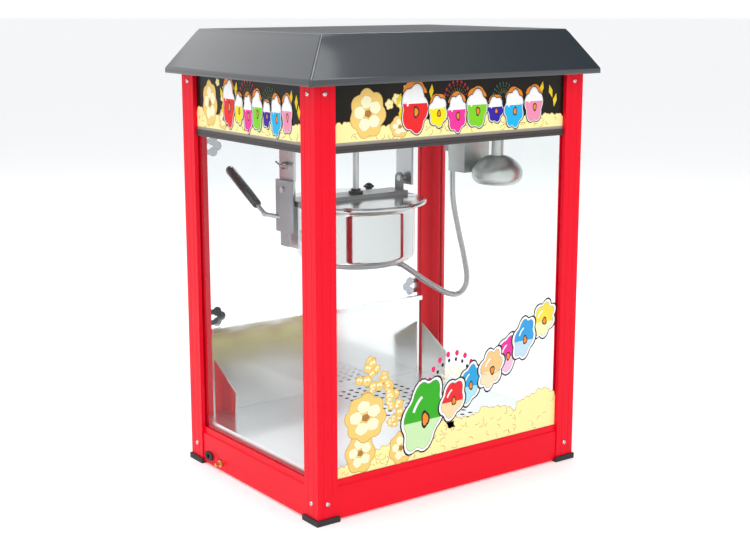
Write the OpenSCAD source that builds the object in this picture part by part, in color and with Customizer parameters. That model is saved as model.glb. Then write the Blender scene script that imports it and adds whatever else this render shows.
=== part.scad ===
// Counter-top popcorn machine: a glazed cabinet on four corner posts, with a
// tilting kettle that hangs from the ceiling. Millimetres, +Z up, origin on the
// counter under the middle. The customer's side is -Y, the doors are at +Y.

/* [Cabinet] */
// Width over the corner posts
body_w = 520; // [430:1:640]
// Depth over the corner posts
body_d = 384; // [350:1:480]
// Height of the top of the posts
post_top = 650; // [620:1:780]
// Side of the square corner posts
post_s = 36; // [30:1:44]
// Wall of the post extrusion
post_wall = 2; // [1.6:0.1:3]
// Thickness of a foot cap's sole
sole_t = 3; // [2:0.5:6]
// Height of the foot caps
foot_h = 9; // [7:0.5:20]
// Height of the top edge of the base rails
base_h = 64; // [58:1:90]
// Height of the top of the floor deck
floor_z = 74; // [72:1:100]
// Thickness of the sheet metal
sheet = 1.5; // [1:0.1:2.5]

/* [Glazing and header] */
// Thickness of the glass and of the header panels
glass_t = 4; // [3:0.5:6]
// Depth of the glass behind the faces of the posts
glass_in = 7; // [5:0.5:10]
// Clearance on each side of a panel in its channel
glass_gap = 0.2; // [0.1:0.05:0.5]
// Height of the lower edge of the header trim
header_z = 552; // [520:1:600]
// Height of the header trim
trim_h = 10; // [8:1:16]
// Height of the underside of the ceiling plate
ceiling_z = 598; // [596:1:630]

/* [Roof] */
// Overhang of the eaves at each side
eave_over_x = 20; // [12:1:60]
// Overhang of the eaves at the front and back
eave_over_y = 21; // [12:1:60]
// Height of the upright lip of the eaves
eave_lip = 8; // [5:1:14]
// Height of the roof above the posts
roof_h = 70; // [50:1:110]
// Run of the end slopes
roof_run_x = 43.5; // [20:0.5:90]
// Run of the front and back slopes
roof_run_y = 36; // [20:0.5:80]

/* [Kettle] */
// Outer radius of the kettle
kettle_r = 97; // [80:1:104]
// Height of the underside of the kettle
kettle_z = 348; // [330:1:360]
// Wall of the kettle
kettle_wall = 1.5; // [1.2:0.1:2.5]
// Width of the flared rim
rim_w = 19; // [12:1:24]
// Kettle centre, sideways from the middle
kettle_x = -33; // [-60:1:0]
// Kettle centre, towards the doors from the middle
kettle_y = 28; // [0:1:36]
// Height of the tilt axis
tilt_z = 472; // [470:1:480]
// Radius of the trunnion pins
trunnion_r = 5; // [4:0.5:6]
// Radius of the stirrer shaft
shaft_r = 5; // [4:0.5:6]
// Radial clearance of every running fit
run_gap = 0.05; // [0.02:0.01:0.09]

/* [Doors and drawer] */
// Thickness of the acrylic doors
door_t = 4; // [3:0.5:6]
// Height of the lower edge of the doors
door_z = 226; // [200:1:280]
// Radius of the hinge pins
hinge_pin_r = 1.5; // [1.2:0.1:2]
// Outer radius of the hinge knuckles
knuckle_r = 3.5; // [3:0.1:4.5]
// Width of the crumb drawer
drawer_w = 142; // [100:1:170]
// Length of the crumb drawer
drawer_l = 290; // [200:5:300]
// Height of the crumb drawer
drawer_h = 38; // [24:1:42]
// Clearance between parts that slide past each other
slide_gap = 0.5; // [0.3:0.1:1]
// Diameter of the floor perforations
perf_d = 8; // [5:0.5:10]
// Pitch of the floor perforations
perf_pitch = 17.5; // [14:0.5:22]

/* [Lamp and lead] */
// Radius of the rim of the lamp shade
shade_r = 42; // [30:1:50]
// Radius of the flexible conduit
conduit_r = 5; // [4:0.5:6]

/* [Hidden] */

$fn = 64;
eps = 0.01;
red = "#e8142c";
steel = "#c9ccd0";
chrome = "#dfe3e8";
black = "#1b1b1d";
clear = [0.8, 0.92, 0.95, 0.3];

// cabinet
hw = body_w / 2;
hd = body_d / 2;
in_x = hw - post_s;
in_y = hd - post_s;
eave_w = body_w + 2 * eave_over_x;
eave_d = body_d + 2 * eave_over_y;
glass_out = glass_in + glass_t;
channel = glass_t + 2 * glass_gap;
slot_deep = 8;
slot_seat = slot_deep - 1;
channel_wall = 2;
trim_top = header_z + trim_h;
ledge_z = base_h - 9;
flange_w = 20;
seat_d = 4;
lip_in = glass_in - glass_gap - channel_wall;
lip_out = glass_out + glass_gap + channel_wall;

// doors and guard
door_out = hd - glass_in + 5.5;
door_in = door_out - door_t;
door_top = header_z - 4;
door_gap = 1;
guard_in = hd - glass_out + 1;
guard_h = door_z - 4;
hinge_y = hd + knuckle_r;
hinge_zs = [door_z + 13, door_top - 20];
leaf_t = 1.5;
lobe_r = 8;
knuckle_h = 9;

// kettle
rim_r = kettle_r + rim_w;
rim_z = kettle_z + 97;
bridge_z = rim_z + 9;
bridge_y0 = kettle_y - 22;
bridge_y1 = kettle_y + 22;
lid_r = rim_r - 4;
flap_pin_y = bridge_y1 + 3;
flap_pin_z = rim_z + 5;
arm_y0 = kettle_y - 21;
arm_y1 = kettle_y + 21;
arm_t = 4;
arm_left_x = kettle_x - rim_r - 18;
arm_right_x = kettle_x + rim_r - 17;
bridge_x0 = arm_left_x + 7;
bridge_x1 = arm_right_x - 8;
crank_x = arm_left_x - 7.5;
lever_x = crank_x - 13;
shaft_top = ceiling_z - 12;
dog_h = 8;
pan_z = kettle_z + 14;
heater_r = kettle_r - 27;

// crumb drawer
perf_nx = 8;
perf_ny = 15;
perf_x0 = 10;
perf_y1 = in_y - 3;
drawer_x0 = perf_x0 + (perf_nx - 1) * perf_pitch / 2 - drawer_w / 2;
drawer_z = sole_t + 9;
drawer_y1 = hd - 2;

// lamp
lamp_x = hw - glass_out - shade_r - 37;
lamp_y = -90;
shade_z = 482;
shade_drop = 16;

// the conduit's route from its socket to the kettle's terminal box
lead = [
  [172, 28, 500], [172, 28, 478], [172, 28, 456], [173, 28, 432], [177, 28, 408],
  [183, 28, 384], [190, 28, 358], [197, 28, 334], [203, 28, 310], [207, 28, 290],
  [206, 28, 273], [198, 28, 261], [184, 28, 256], [168, 28, 259], [150, 28, 267],
  [131, 28, 278], [112, 28, 290], [95, 28, 302], [82, 28, 311], [70, 28, 319], [59, 28, 326]
];

// a closed tube with rings of m points swept along a route in the XZ plane
function unit(v) = v / norm(v);
function heading(p, i) = unit(p[min(i + 1, len(p) - 1)] - p[max(i - 1, 0)]);
function ring(p, i, r, m) =
  let (t = heading(p, i), side = [0, 1, 0], over = cross(t, side))
    [for (k = [0:m - 1]) p[i] + r * (cos(360 * k / m) * side + sin(360 * k / m) * over)];

module tube(p, r, m = 10) {
  n = len(p);
  pts = [for (i = [0:n - 1]) each ring(p, i, r, m)];
  walls = [
    for (i = [0:n - 2]) for (k = [0:m - 1])
      [i * m + k, (i + 1) * m + k, (i + 1) * m + (k + 1) % m, i * m + (k + 1) % m]
  ];
  first = [for (k = [0:m - 1]) k];
  last = [for (k = [m - 1:-1:0]) (n - 1) * m + k];
  polyhedron(pts, concat(walls, [first, last]));
}

// a box given by its lowest and highest corners
module block(a, b) {
  translate(a) cube(b - a);
}

// a round bar along X, Y or Z from a point
module bar_x(p, r, l) {
  translate(p) rotate([0, 90, 0]) cylinder(r = r, h = l);
}
module bar_y(p, r, l) {
  translate(p) rotate([-90, 0, 0]) cylinder(r = r, h = l);
}
module bar_z(p, r, l) {
  translate(p) cylinder(r = r, h = l);
}

// a round bar between two points
module rod(a, b, r) {
  d = b - a;
  tilt = acos(d[2] / norm(d));
  turn = atan2(d[1], d[0]);
  translate(a) rotate([0, tilt, turn]) cylinder(r = r, h = norm(d));
}

// Corner posts: one hollow L-shaped extrusion with a channel in the end of each leg
// for the glass, the header panels and the guard
module post_profile() {
  s0 = glass_in - glass_gap;
  c0 = s0 - channel_wall;
  c1 = lip_out;
  lug = slot_deep + channel_wall;
  difference() {
    square(post_s);
    translate([c1, c1]) square(post_s);
    difference() {
      translate([post_wall, post_wall]) square(post_s - 2 * post_wall);
      translate([c1 - post_wall, c1 - post_wall]) square(post_s);
      translate([post_s - lug, c0]) square([lug, c1 - c0]);
      translate([c0, post_s - lug]) square([c1 - c0, lug]);
    }
    translate([post_s - slot_deep, s0]) square([slot_deep + eps, channel]);
    translate([s0, post_s - slot_deep]) square([channel, slot_deep + eps]);
    for (g = [0.3, 0.7]) {
      translate([g * post_s, 0]) circle(r = 0.5, $fn = 16);
      translate([0, g * post_s]) circle(r = 0.5, $fn = 16);
    }
  }
}

module post(left, front) {
  color(red)
    mirror([left ? 0 : 1, 0, 0]) mirror([0, front ? 0 : 1, 0])
      translate([-hw, -hd, sole_t]) linear_extrude(post_top - sole_t) post_profile();
}
module post_front_left() post(true, true);
module post_front_right() post(false, true);
module post_rear_left() post(true, false);
module post_rear_right() post(false, false);

// Foot caps: an L-shaped cup under each post
module foot_cap() {
  wall = 3;
  span = post_s + wall + 3;
  difference() {
    translate([-wall, -wall, 0]) cube([span, span, foot_h]);
    translate([-glass_gap, -glass_gap, sole_t]) cube([span, span, foot_h]);
  }
}

module foot_caps() {
  color(black)
    for (sx = [0, 1], sy = [0, 1])
      mirror([sx, 0, 0]) mirror([0, sy, 0]) translate([-hw, -hd, 0]) foot_cap();
}

// Base rails: a C section whose top carries the channel for the glass
module glazed_rail_profile() {
  foot_z = sole_t;
  polygon([
    [2, foot_z], [flange_w, foot_z], [flange_w, foot_z + 2], [4, foot_z + 2],
    [4, ledge_z - 4], [6, ledge_z - 2], [flange_w, ledge_z - 2], [flange_w, ledge_z],
    [lip_out, ledge_z], [lip_out, base_h], [lip_out - channel_wall, base_h],
    [lip_out - channel_wall, ledge_z + 1], [lip_in + channel_wall, ledge_z + 1],
    [lip_in + channel_wall, base_h], [lip_in, base_h], [lip_in, ledge_z], [2, ledge_z - 2]
  ]);
}

// runs a profile, drawn as depth from the outer face against height, along a side
module along_x(len_x) {
  translate([-len_x / 2, -hd, 0]) rotate([90, 0, 90]) linear_extrude(len_x) children();
}
module along_y(len_y) {
  translate([-hw, len_y / 2, 0]) rotate([90, 0, 0]) linear_extrude(len_y) children();
}

module base_rail_front() {
  color(red) along_x(2 * in_x) glazed_rail_profile();
}

module base_rail_left() {
  color(red) difference() {
    along_y(2 * in_y) glazed_rail_profile();
    bar_x([-hw - 1, inlet_y, inlet_z], inlet_hole_r, 8);
    bar_x([-hw - 1, earth_y, earth_z], earth_r, 8);
  }
}

module base_rail_right() {
  color(red) mirror([1, 0, 0]) along_y(2 * in_y) glazed_rail_profile();
}

module base_rail_rear() {
  g = slide_gap;
  color(red) difference() {
    mirror([0, 1, 0]) along_x(2 * in_x) polygon([
      [2, sole_t], [flange_w, sole_t], [flange_w, sole_t + 2], [4, sole_t + 2],
      [4, base_h - 2], [flange_w, base_h - 2], [flange_w, base_h], [2, base_h]
    ]);
    block(
      [drawer_x0 - g, hd - 5, drawer_z - g],
      [drawer_x0 + drawer_w + g, hd, drawer_z + drawer_h + g]
    );
  }
}

// Base plate, notched round the posts, with two formed runners for the drawer
module base_plate() {
  z0 = sole_t + 2;
  top = z0 + sheet;
  run_w = 10;
  color(steel) {
    block([-in_x, -hd + 4.2, z0], [in_x, hd - 4.2, top]);
    block([-hw + 4.2, -in_y, z0], [-in_x, in_y, top]);
    block([in_x, -in_y, z0], [hw - 4.2, in_y, top]);
    for (x = [drawer_x0 + 4, drawer_x0 + drawer_w - 4 - run_w])
      block([x, drawer_y1 - drawer_l, top], [x + run_w, hd - 6, drawer_z - slide_gap]);
  }
}

// Floor deck: a stainless plate on the rails' ledges, perforated over the drawer
module floor_deck() {
  e = lip_out + 0.3;
  z0 = floor_z - sheet;
  color(steel) {
    difference() {
      union() {
        block([-in_x, -hd + e, z0], [in_x, guard_in - 0.3, floor_z]);
        block([-hw + e, -hd + e, z0], [hw - e, hd - e, floor_z]);
      }
      for (i = [0:perf_nx - 1], j = [0:perf_ny - 1])
        bar_z([perf_x0 + i * perf_pitch, perf_y1 - j * perf_pitch, z0 - 1], perf_d / 2, sheet + 2);
    }
    block([-in_x, -hd + e, ledge_z], [in_x, -hd + e + sheet, z0]);
    block([-hw + e, -in_y, ledge_z], [-hw + e + sheet, in_y, z0]);
    block([hw - e - sheet, -in_y, ledge_z], [hw - e, in_y, z0]);
    block([-in_x, guard_in - 0.3 - sheet, base_h], [in_x, guard_in - 0.3, z0]);
  }
}

// Back guard: a polished sheet in the rear posts' channels with a folded top rail
module back_guard() {
  rail_h = 9;
  color(chrome) {
    block([-in_x - slot_seat, guard_in, base_h], [in_x + slot_seat, guard_in + sheet, guard_h]);
    block([-in_x, guard_in - 7, guard_h - rail_h], [in_x, guard_in, guard_h]);
  }
}

// Guard wings: upright gussets at the ends of the guard
module guard_wings() {
  wing_d = 80;
  color(chrome)
    for (s = [-1, 1])
      translate([s * (in_x - 1) - sheet / 2, 0, 0]) rotate([90, 0, 90]) linear_extrude(sheet)
        polygon([
          [guard_in - 8, floor_z], [guard_in - 8, floor_z + 96],
          [guard_in - wing_d, floor_z + 55], [guard_in - wing_d + 4, floor_z]
        ]);
}

// Fixed glass
module glass_front() {
  color(clear) block(
    [-in_x - slot_seat, -hd + glass_in, ledge_z + 1.2],
    [in_x + slot_seat, -hd + glass_out, header_z + seat_d - glass_gap]
  );
}
module side_glass() {
  color(clear) block(
    [-hw + glass_in, -in_y - slot_seat, ledge_z + 1.2],
    [-hw + glass_out, in_y + slot_seat, header_z + seat_d - glass_gap]
  );
}
module glass_left() side_glass();
module glass_right() mirror([1, 0, 0]) side_glass();

// Header panels over the glass
module header_front() {
  color("#101012") block(
    [-in_x - slot_seat, -hd + glass_in, trim_top - seat_d + glass_gap],
    [in_x + slot_seat, -hd + glass_out, post_top]
  );
}
module header_sides() {
  color("#101012")
    for (s = [0, 1])
      mirror([s, 0, 0]) block(
        [-hw + glass_in, -in_y - slot_seat, trim_top - seat_d + glass_gap],
        [-hw + glass_out, in_y + slot_seat, post_top]
      );
}

// Control panel: the rear header, with a frame round each rocker switch
switch_xs = [-60, 0, 60];
switch_z = (trim_top + post_top) / 2;
rocker_w = 14;
rocker_h = 22;
rocker_pin_r = 1.5;
rocker_y = hd - glass_out + 2;
module switch_frame(x) {
  fw = rocker_w / 2 + 3;
  fh = rocker_h / 2 + 4;
  difference() {
    block([x - fw, hd - glass_in, switch_z - fh], [x + fw, hd - glass_in + 2.5, switch_z + fh]);
    rocker_hole(x);
  }
  for (s = [-1, 1])
    difference() {
      translate([x + s * (rocker_w / 2 + 1.9) - 1.25, hd - glass_out - 6, switch_z - 6])
        cube([2.5, 6.01, 12]);
      bar_x([x - fw, rocker_y - 4, switch_z], rocker_pin_r + run_gap, 2 * fw);
    }
}
module rocker_hole(x) {
  g = 0.6;
  block(
    [x - rocker_w / 2 - g, hd - glass_out - 1, switch_z - rocker_h / 2 - g],
    [x + rocker_w / 2 + g, hd, switch_z + rocker_h / 2 + g]
  );
}
module control_panel() {
  color("#d8dadd") {
    difference() {
      block(
        [-in_x - slot_seat, hd - glass_out, trim_top - seat_d + glass_gap],
        [in_x + slot_seat, hd - glass_in, post_top]
      );
      for (x = switch_xs) rocker_hole(x);
    }
    for (x = switch_xs) switch_frame(x);
  }
}

// a rocker that leans back at its lower end when it is off
rocker_tilt = 6;
module rocker(x, col) {
  cy = rocker_y - 4;
  color(col) translate([x, cy, switch_z]) rotate([-rocker_tilt, 0, 0]) {
    rotate([90, 0, 90]) translate([0, 0, -rocker_w / 2]) linear_extrude(rocker_w) polygon([
      [-3, -7], [4, -rocker_h / 2 + 0.5], [8.5, -rocker_h / 2 + 0.5], [7, 0],
      [8.5, rocker_h / 2 - 0.5], [4, rocker_h / 2 - 0.5], [-3, 7]
    ]);
    bar_x([-rocker_w / 2 - 2.9, 0, 0], rocker_pin_r, rocker_w + 5.8);
  }
}
module switch_stir() rocker(switch_xs[0], "#202022");
module switch_heat() rocker(switch_xs[1], "#202022");
module switch_lamp() rocker(switch_xs[2], "#202022");

// Header trim: an H section between the glass and the header panels
module trim_profile() {
  difference() {
    translate([4, header_z]) square([lip_out - 4, trim_h]);
    translate([glass_in - glass_gap, header_z - eps]) square([channel, seat_d]);
    translate([glass_in - glass_gap, trim_top - seat_d]) square([channel, seat_d + eps]);
    translate([3, header_z + 4.5]) square([1.6, 1.2]);
  }
}
module header_trim() {
  color("#2b2523") {
    along_x(2 * in_x) trim_profile();
    mirror([0, 1, 0]) along_x(2 * in_x) trim_profile();
    for (s = [0, 1]) mirror([s, 0, 0]) along_y(2 * in_y) trim_profile();
  }
}

// Ceiling plate, notched round the posts
motor_hole_r = 8;
module ceiling_plate() {
  e = lip_out + 0.3;
  top = ceiling_z + 2;
  color(steel) difference() {
    union() {
      block([-in_x, -hd + glass_out, ceiling_z], [in_x, hd - glass_out, top]);
      block([-hw + glass_out, -in_y, ceiling_z], [hw - glass_out, in_y, top]);
      block([-hw + e, -hd + e, ceiling_z], [hw - e, hd - e, top]);
    }
    bar_z([kettle_x, kettle_y, ceiling_z - 1], motor_hole_r, 4);
    for (s = [-1, 1]) bar_z([s * 120, -110, ceiling_z - 1], 5, 4);
    for (x = switch_xs)
      block(
        [x - rocker_w / 2 - 4, hd - glass_out - 10, ceiling_z - 1],
        [x + rocker_w / 2 + 4, hd, ceiling_z + 3]
      );
  }
}

// Roof: a soffit on the posts, and a hollow hipped shell of painted steel
module roof_soffit() {
  color(black) difference() {
    block(
      [-eave_w / 2 + 1.8, -eave_d / 2 + 1.8, post_top],
      [eave_w / 2 - 1.8, eave_d / 2 - 1.8, post_top + sheet]
    );
    block([-in_x + 20, -in_y + 20, post_top - 1], [in_x - 20, in_y - 20, post_top + sheet + 1]);
  }
}
module hip(w, d, z0, lip, h, rx, ry) {
  hull() {
    translate([-w / 2, -d / 2, z0]) cube([w, d, lip]);
    translate([-w / 2 + rx, -d / 2 + ry, z0 + h - 1]) cube([w - 2 * rx, d - 2 * ry, 1]);
  }
}
module roof_shell() {
  t = sheet;
  color("#3a3d42") difference() {
    hip(eave_w, eave_d, post_top, eave_lip, roof_h, roof_run_x, roof_run_y);
    translate([0, 0, -eps])
      hip(eave_w - 2 * t, eave_d - 2 * t, post_top, eave_lip, roof_h - t, roof_run_x, roof_run_y);
  }
}

// Stirrer drive above the ceiling
gear_h = 30;
motor_r = 27;
module gearbox() {
  z0 = ceiling_z + 2;
  color("#8d9095") difference() {
    union() {
      block([kettle_x - 32, kettle_y - 28, z0], [kettle_x + 78, kettle_y + 28, z0 + gear_h]);
      bar_z([kettle_x, kettle_y, z0 - 2 - eps], motor_hole_r - 0.2, 3);
    }
    bar_z([kettle_x, kettle_y, z0 - 3], shaft_r + run_gap, 22);
  }
}
module stir_motor() {
  z0 = ceiling_z + 2 + gear_h;
  color("#3f4247") {
    bar_z([kettle_x + 46, kettle_y, z0], motor_r, 50);
    bar_z([kettle_x + 46, kettle_y, z0 + 50], 12, 8);
  }
}
module drive_coupling() {
  z0 = shaft_top - dog_h + 1;
  slot_w = shaft_r + 1.2;
  color("#74777c") difference() {
    union() {
      bar_z([kettle_x, kettle_y, z0], 11, ceiling_z - 0.5 - z0);
      bar_z([kettle_x, kettle_y, ceiling_z - 1], shaft_r, 20);
    }
    translate([kettle_x - slot_w / 2, kettle_y - 15, z0 - 1]) cube([slot_w, 30, dog_h + 3]);
  }
}

// Hanger arms: flat bars down from the ceiling to the kettle's trunnions
module hanger(x, strap_z) {
  difference() {
    union() {
      block([x, arm_y0, strap_z], [x + arm_t, arm_y1, ceiling_z]);
      block([x, arm_y0, ceiling_z - 3], [x + arm_t + 24, arm_y1, ceiling_z]);
      children();
    }
    bar_x([x - 1, kettle_y, tilt_z], trunnion_r + run_gap, arm_t + 2);
  }
}
module hanger_left() {
  color(steel) hanger(arm_left_x, tilt_z + 14) {
    block([arm_left_x, kettle_y - 19, tilt_z], [arm_left_x + arm_t, kettle_y + 19, tilt_z + 15]);
    bar_x([arm_left_x, kettle_y, tilt_z], 19, arm_t);
  }
}
module hanger_right() {
  color(steel) hanger(arm_right_x, tilt_z - 10);
}
module clamp_screw() {
  z = tilt_z + 38;
  color(chrome) {
    bar_x([arm_left_x - 6, kettle_y, z], 6, 6);
    bar_x([arm_left_x - 12, kettle_y, z], 3, 6 + eps);
    for (s = [-1, 1])
      rod([arm_left_x - 10, kettle_y, z], [arm_left_x - 10, kettle_y + s * 15, z + 5], 1.6);
    bar_x([arm_left_x + arm_t, kettle_y, z], 6, 4);
  }
}

// Conduit socket on its own bracket
lead_x = lead[0][0];
lead_y = lead[0][1];
lead_z = lead[0][2];
module conduit_socket() {
  color("#b5b8b6") {
    block([lead_x + 12, lead_y - 14, lead_z - 26], [lead_x + 14, lead_y + 14, ceiling_z]);
    block([lead_x - 10, lead_y - 11, lead_z + 10], [lead_x + 12, lead_y + 11, lead_z + 36]);
    bar_z([lead_x, lead_y, lead_z], 8, 10);
    block([lead_x + 4, lead_y - 14, ceiling_z - 3], [lead_x + 30, lead_y + 14, ceiling_z]);
    block([lead_x + 14, lead_y - 14, lead_z - 26], [lead_x + 22, lead_y + 14, lead_z - 24]);
  }
}

// Warming lamp
module lamp_housing() {
  a = [lamp_x - 34, lamp_y + shade_r + 2, shade_z];
  b = a + [54, 42, ceiling_z - shade_z];
  color("#9fa3a0") difference() {
    block(a, b);
    block(a + [sheet, sheet, sheet], b + [-sheet, -sheet, 1]);
  }
}
module lamp_shade() {
  neck_r = 10;
  neck_z = shade_z + 30;
  lip = 4;
  t = 1.5;
  in_by = shade_r * 0.42;
  function dome(r0, top, a0, a1) =
    [for (a = [a0:(a1 - a0) / 5:a1]) [r0 + (shade_r - neck_r) * cos(a), shade_z + lip + top * sin(a)]];
  function belly(cut, a0, a1) =
    [for (a = [a0:(a1 - a0) / 5:a1])
      [shade_r - in_by + (in_by - cut) * cos(a), shade_z - (shade_drop - cut) * sin(a)]];
  color("#aeb2af") translate([lamp_x, lamp_y, 0]) rotate_extrude() polygon(concat(
    [[0, ceiling_z], [neck_r, ceiling_z], [neck_r, neck_z]],
    dome(neck_r, neck_z - shade_z - lip, 75, 0),
    belly(0, 0, 80),
    belly(t, 80, 0),
    dome(neck_r - t, neck_z - shade_z - lip - t, 0, 75),
    [[neck_r - t, neck_z - t], [neck_r - t, neck_z + 24], [0, neck_z + 24]]
  ));
}
module lamp_bulb() {
  top = shade_z + 30 + 24;
  color([1, 0.95, 0.8, 0.8]) {
    bar_z([lamp_x, lamp_y, top - 30], 8, 30);
    translate([lamp_x, lamp_y, top - 40]) sphere(r = 15);
  }
}

// Hinges: clover-shaped leaves with three knuckles, the middle one on the post
module clover(dir) {
  for (p = [[10, 9], [10, -9], [18, 0]])
    translate([dir * p[0], p[1]]) circle(r = lobe_r);
}
module leaf(x, z, dir, y0) {
  translate([x + dir * 4, y0 + leaf_t, z]) rotate([90, 0, 0]) linear_extrude(leaf_t)
    intersection() {
      clover(dir);
      translate([dir > 0 ? 0 : -40, -30]) square([40, 60]);
    }
}
module post_hinges() {
  link = 4.2;
  color(chrome)
    for (s = [-1, 1], z = hinge_zs) {
      leaf(s * in_x + s * 4, z, s, hd);
      block(
        [min(s * (in_x + 11), s * in_x), hd + 0.2, z - knuckle_h / 2],
        [max(s * (in_x + 11), s * in_x), hd + leaf_t + 1.5, z + knuckle_h / 2]
      );
      bar_z([s * in_x, hinge_y, z - knuckle_h / 2], knuckle_r, knuckle_h);
      bar_z([s * in_x, hinge_y, z - 1.5 * knuckle_h - 0.3], hinge_pin_r, 3 * knuckle_h + 0.6);
    }
}
module door_leaf(s, z) {
  k = knuckle_h;
  g = 0.4;
  difference() {
    union() {
      leaf(s * in_x - s * 4, z, -s, door_out);
      for (d = [-1, 1]) {
        bar_z([s * in_x, hinge_y, z + d * k - k / 2 + g / 2 * d], knuckle_r, k - g);
        block(
          [min(s * in_x, s * (in_x - 12)), door_out, z + d * k - k / 2 + g / 2 * d],
          [max(s * in_x, s * (in_x - 12)), hinge_y - 1.6, z + d * k + k / 2 - g + g / 2 * d]
        );
      }
    }
    bar_z([s * in_x, hinge_y, z - 2 * k], hinge_pin_r + run_gap, 4 * k);
  }
}

// Doors: two clear acrylic leaves that meet in the middle
module door(s) {
  color(clear) block(
    [min(s * door_gap, s * (in_x - 1.2)), door_in, door_z],
    [max(s * door_gap, s * (in_x - 1.2)), door_out, door_top]
  );
}
module door_left() door(-1);
module door_right() door(1);
module door_fittings(s) {
  pull_x = s * 22;
  color(chrome) {
    for (z = hinge_zs) door_leaf(s, z);
    for (z = [-26, 26]) bar_y([pull_x, door_out, (door_z + door_top) / 2 + z], 3, 14);
    bar_z([pull_x, door_out + 12, (door_z + door_top) / 2 - 34], 3.5, 68);
  }
}
module door_fittings_left() door_fittings(-1);
module door_fittings_right() door_fittings(1);

// Screws, cord inlet and earth terminal
module screw(p, r) {
  translate(p) rotate(r) {
    cylinder(r = 3.6, h = 1);
    translate([0, 0, 1]) cylinder(r1 = 3.6, r2 = 2.4, h = 0.8);
  }
}
module cabinet_screws() {
  zs = [sole_t + 28, post_top - 12];
  color(chrome)
    for (sx = [0, 1], sy = [0, 1], z = zs) mirror([sx, 0, 0]) mirror([0, sy, 0]) {
      screw([-hw + post_s * 0.5, -hd, z], [90, 0, 0]);
      screw([-hw, -hd + post_s * 0.5, z], [0, -90, 0]);
    }
}
inlet_y = in_y - 21;
inlet_z = sole_t + 15;
inlet_hole_r = 6;
cord_hole_r = 4;
earth_y = in_y - 59;
earth_z = sole_t + 12;
earth_r = 3;
module cord_grommet() {
  color(black) difference() {
    union() {
      bar_x([-hw - 1, inlet_y, inlet_z], inlet_hole_r, 6);
      for (dy = [-5, 5]) bar_x([-hw - 1, inlet_y + dy, inlet_z], 7, 3);
      block([-hw - 1, inlet_y - 5, inlet_z - 7], [-hw + 2, inlet_y + 5, inlet_z + 7]);
    }
    bar_x([-hw - 2, inlet_y, inlet_z], cord_hole_r, 10);
  }
}
module earth_terminal() {
  color("#c9a24b") {
    bar_x([-hw - 9, earth_y, earth_z], earth_r, 15);
    bar_x([-hw - 1, earth_y, earth_z], 6, 3);
    bar_x([-hw + 4, earth_y, earth_z], 5.5, 2.5);
  }
}

// Kettle: a flat-bottomed pot with a flared rim
module kettle_pot() {
  w = kettle_wall;
  c = 10;
  function arc(r0, z0, r, a0, a1) =
    [for (a = [a0:(a1 - a0) / 6:a1]) [r0 + r * cos(a), z0 + r * sin(a)]];
  color(chrome) translate([kettle_x, kettle_y, 0]) rotate_extrude($fn = 96) polygon(concat(
    [[0, kettle_z]],
    arc(kettle_r - c, kettle_z + c, c, -90, 0),
    [
      [kettle_r, rim_z - 12], [kettle_r + 3, rim_z - 9], [rim_r - 2, rim_z - 5], [rim_r, rim_z - 3],
      [rim_r, rim_z], [rim_r - 3, rim_z], [rim_r - 4, rim_z - 3], [kettle_r + 2, rim_z - 7],
      [kettle_r - w, rim_z - 11]
    ],
    arc(kettle_r - c, kettle_z + c, c - w, 0, -90),
    [[0, kettle_z + w]]
  ));
}
module heater_base() {
  color("#8d9095") bar_z([kettle_x, kettle_y, kettle_z - 8], heater_r, 8);
}

// Bridge: a folded bar across the rim that carries the lids, the shaft and the ears
ear_t = 3;
ear_r = 10;
flap_knuckles = [-46, 46];
module kettle_bridge() {
  color(steel) {
    difference() {
      union() {
        block([bridge_x0, bridge_y0, bridge_z - 2], [bridge_x1, bridge_y1, bridge_z]);
        block([bridge_x0, bridge_y0, rim_z], [bridge_x1, bridge_y0 + 2, bridge_z - 2]);
        block([bridge_x0, bridge_y1 - 2, rim_z], [bridge_x1, bridge_y1, bridge_z - 2]);
        for (x = [bridge_x0, bridge_x1 - ear_t]) {
          block([x, kettle_y - ear_r, bridge_z - eps], [x + ear_t, kettle_y + ear_r, tilt_z]);
          bar_x([x, kettle_y, tilt_z], ear_r, ear_t);
        }
      }
      bar_z([kettle_x, kettle_y, bridge_z - 4], 8, 6);
      block(
        [bridge_x0 - 1, kettle_y - 15, bridge_z - 2 - 12], [bridge_x1 + 1, kettle_y + 15, bridge_z - 2]
      );
      for (x = [bridge_x0, bridge_x1 - ear_t])
        bar_x([x - 1, kettle_y, tilt_z], trunnion_r, ear_t + 2);
    }
    for (dx = flap_knuckles) {
      bar_x([kettle_x + dx - 7, flap_pin_y, flap_pin_z], 3, 14);
      block(
        [kettle_x + dx - 7, bridge_y1 - eps, flap_pin_z - 1],
        [kettle_x + dx + 7, flap_pin_y, flap_pin_z + 1]
      );
    }
    bar_x([kettle_x - 60, flap_pin_y, flap_pin_z], hinge_pin_r, 120);
  }
}
module kettle_trunnions() {
  color("#a9adb2") {
    bar_x([crank_x - 3, kettle_y, tilt_z], trunnion_r, bridge_x0 + ear_t - crank_x + 3);
    bar_x([crank_x + 6, kettle_y, tilt_z], 9, arm_left_x - crank_x - 6.5);
    bar_x([bridge_x1 - ear_t, kettle_y, tilt_z], trunnion_r, arm_right_x + arm_t + 5 - bridge_x1 + ear_t);
  }
}
module kettle_strap() {
  x1 = bridge_x0 + 3;
  color(steel) {
    block([bridge_x0, arm_y0, kettle_z + 30], [x1, kettle_y + 8, rim_z - eps]);
    difference() {
      block([x1, kettle_y - 8, kettle_z + 40], [kettle_x - kettle_r + 6, kettle_y + 8, kettle_z + 54]);
      bar_z([kettle_x, kettle_y, kettle_z + 30], kettle_r, 40);
    }
  }
}

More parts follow.
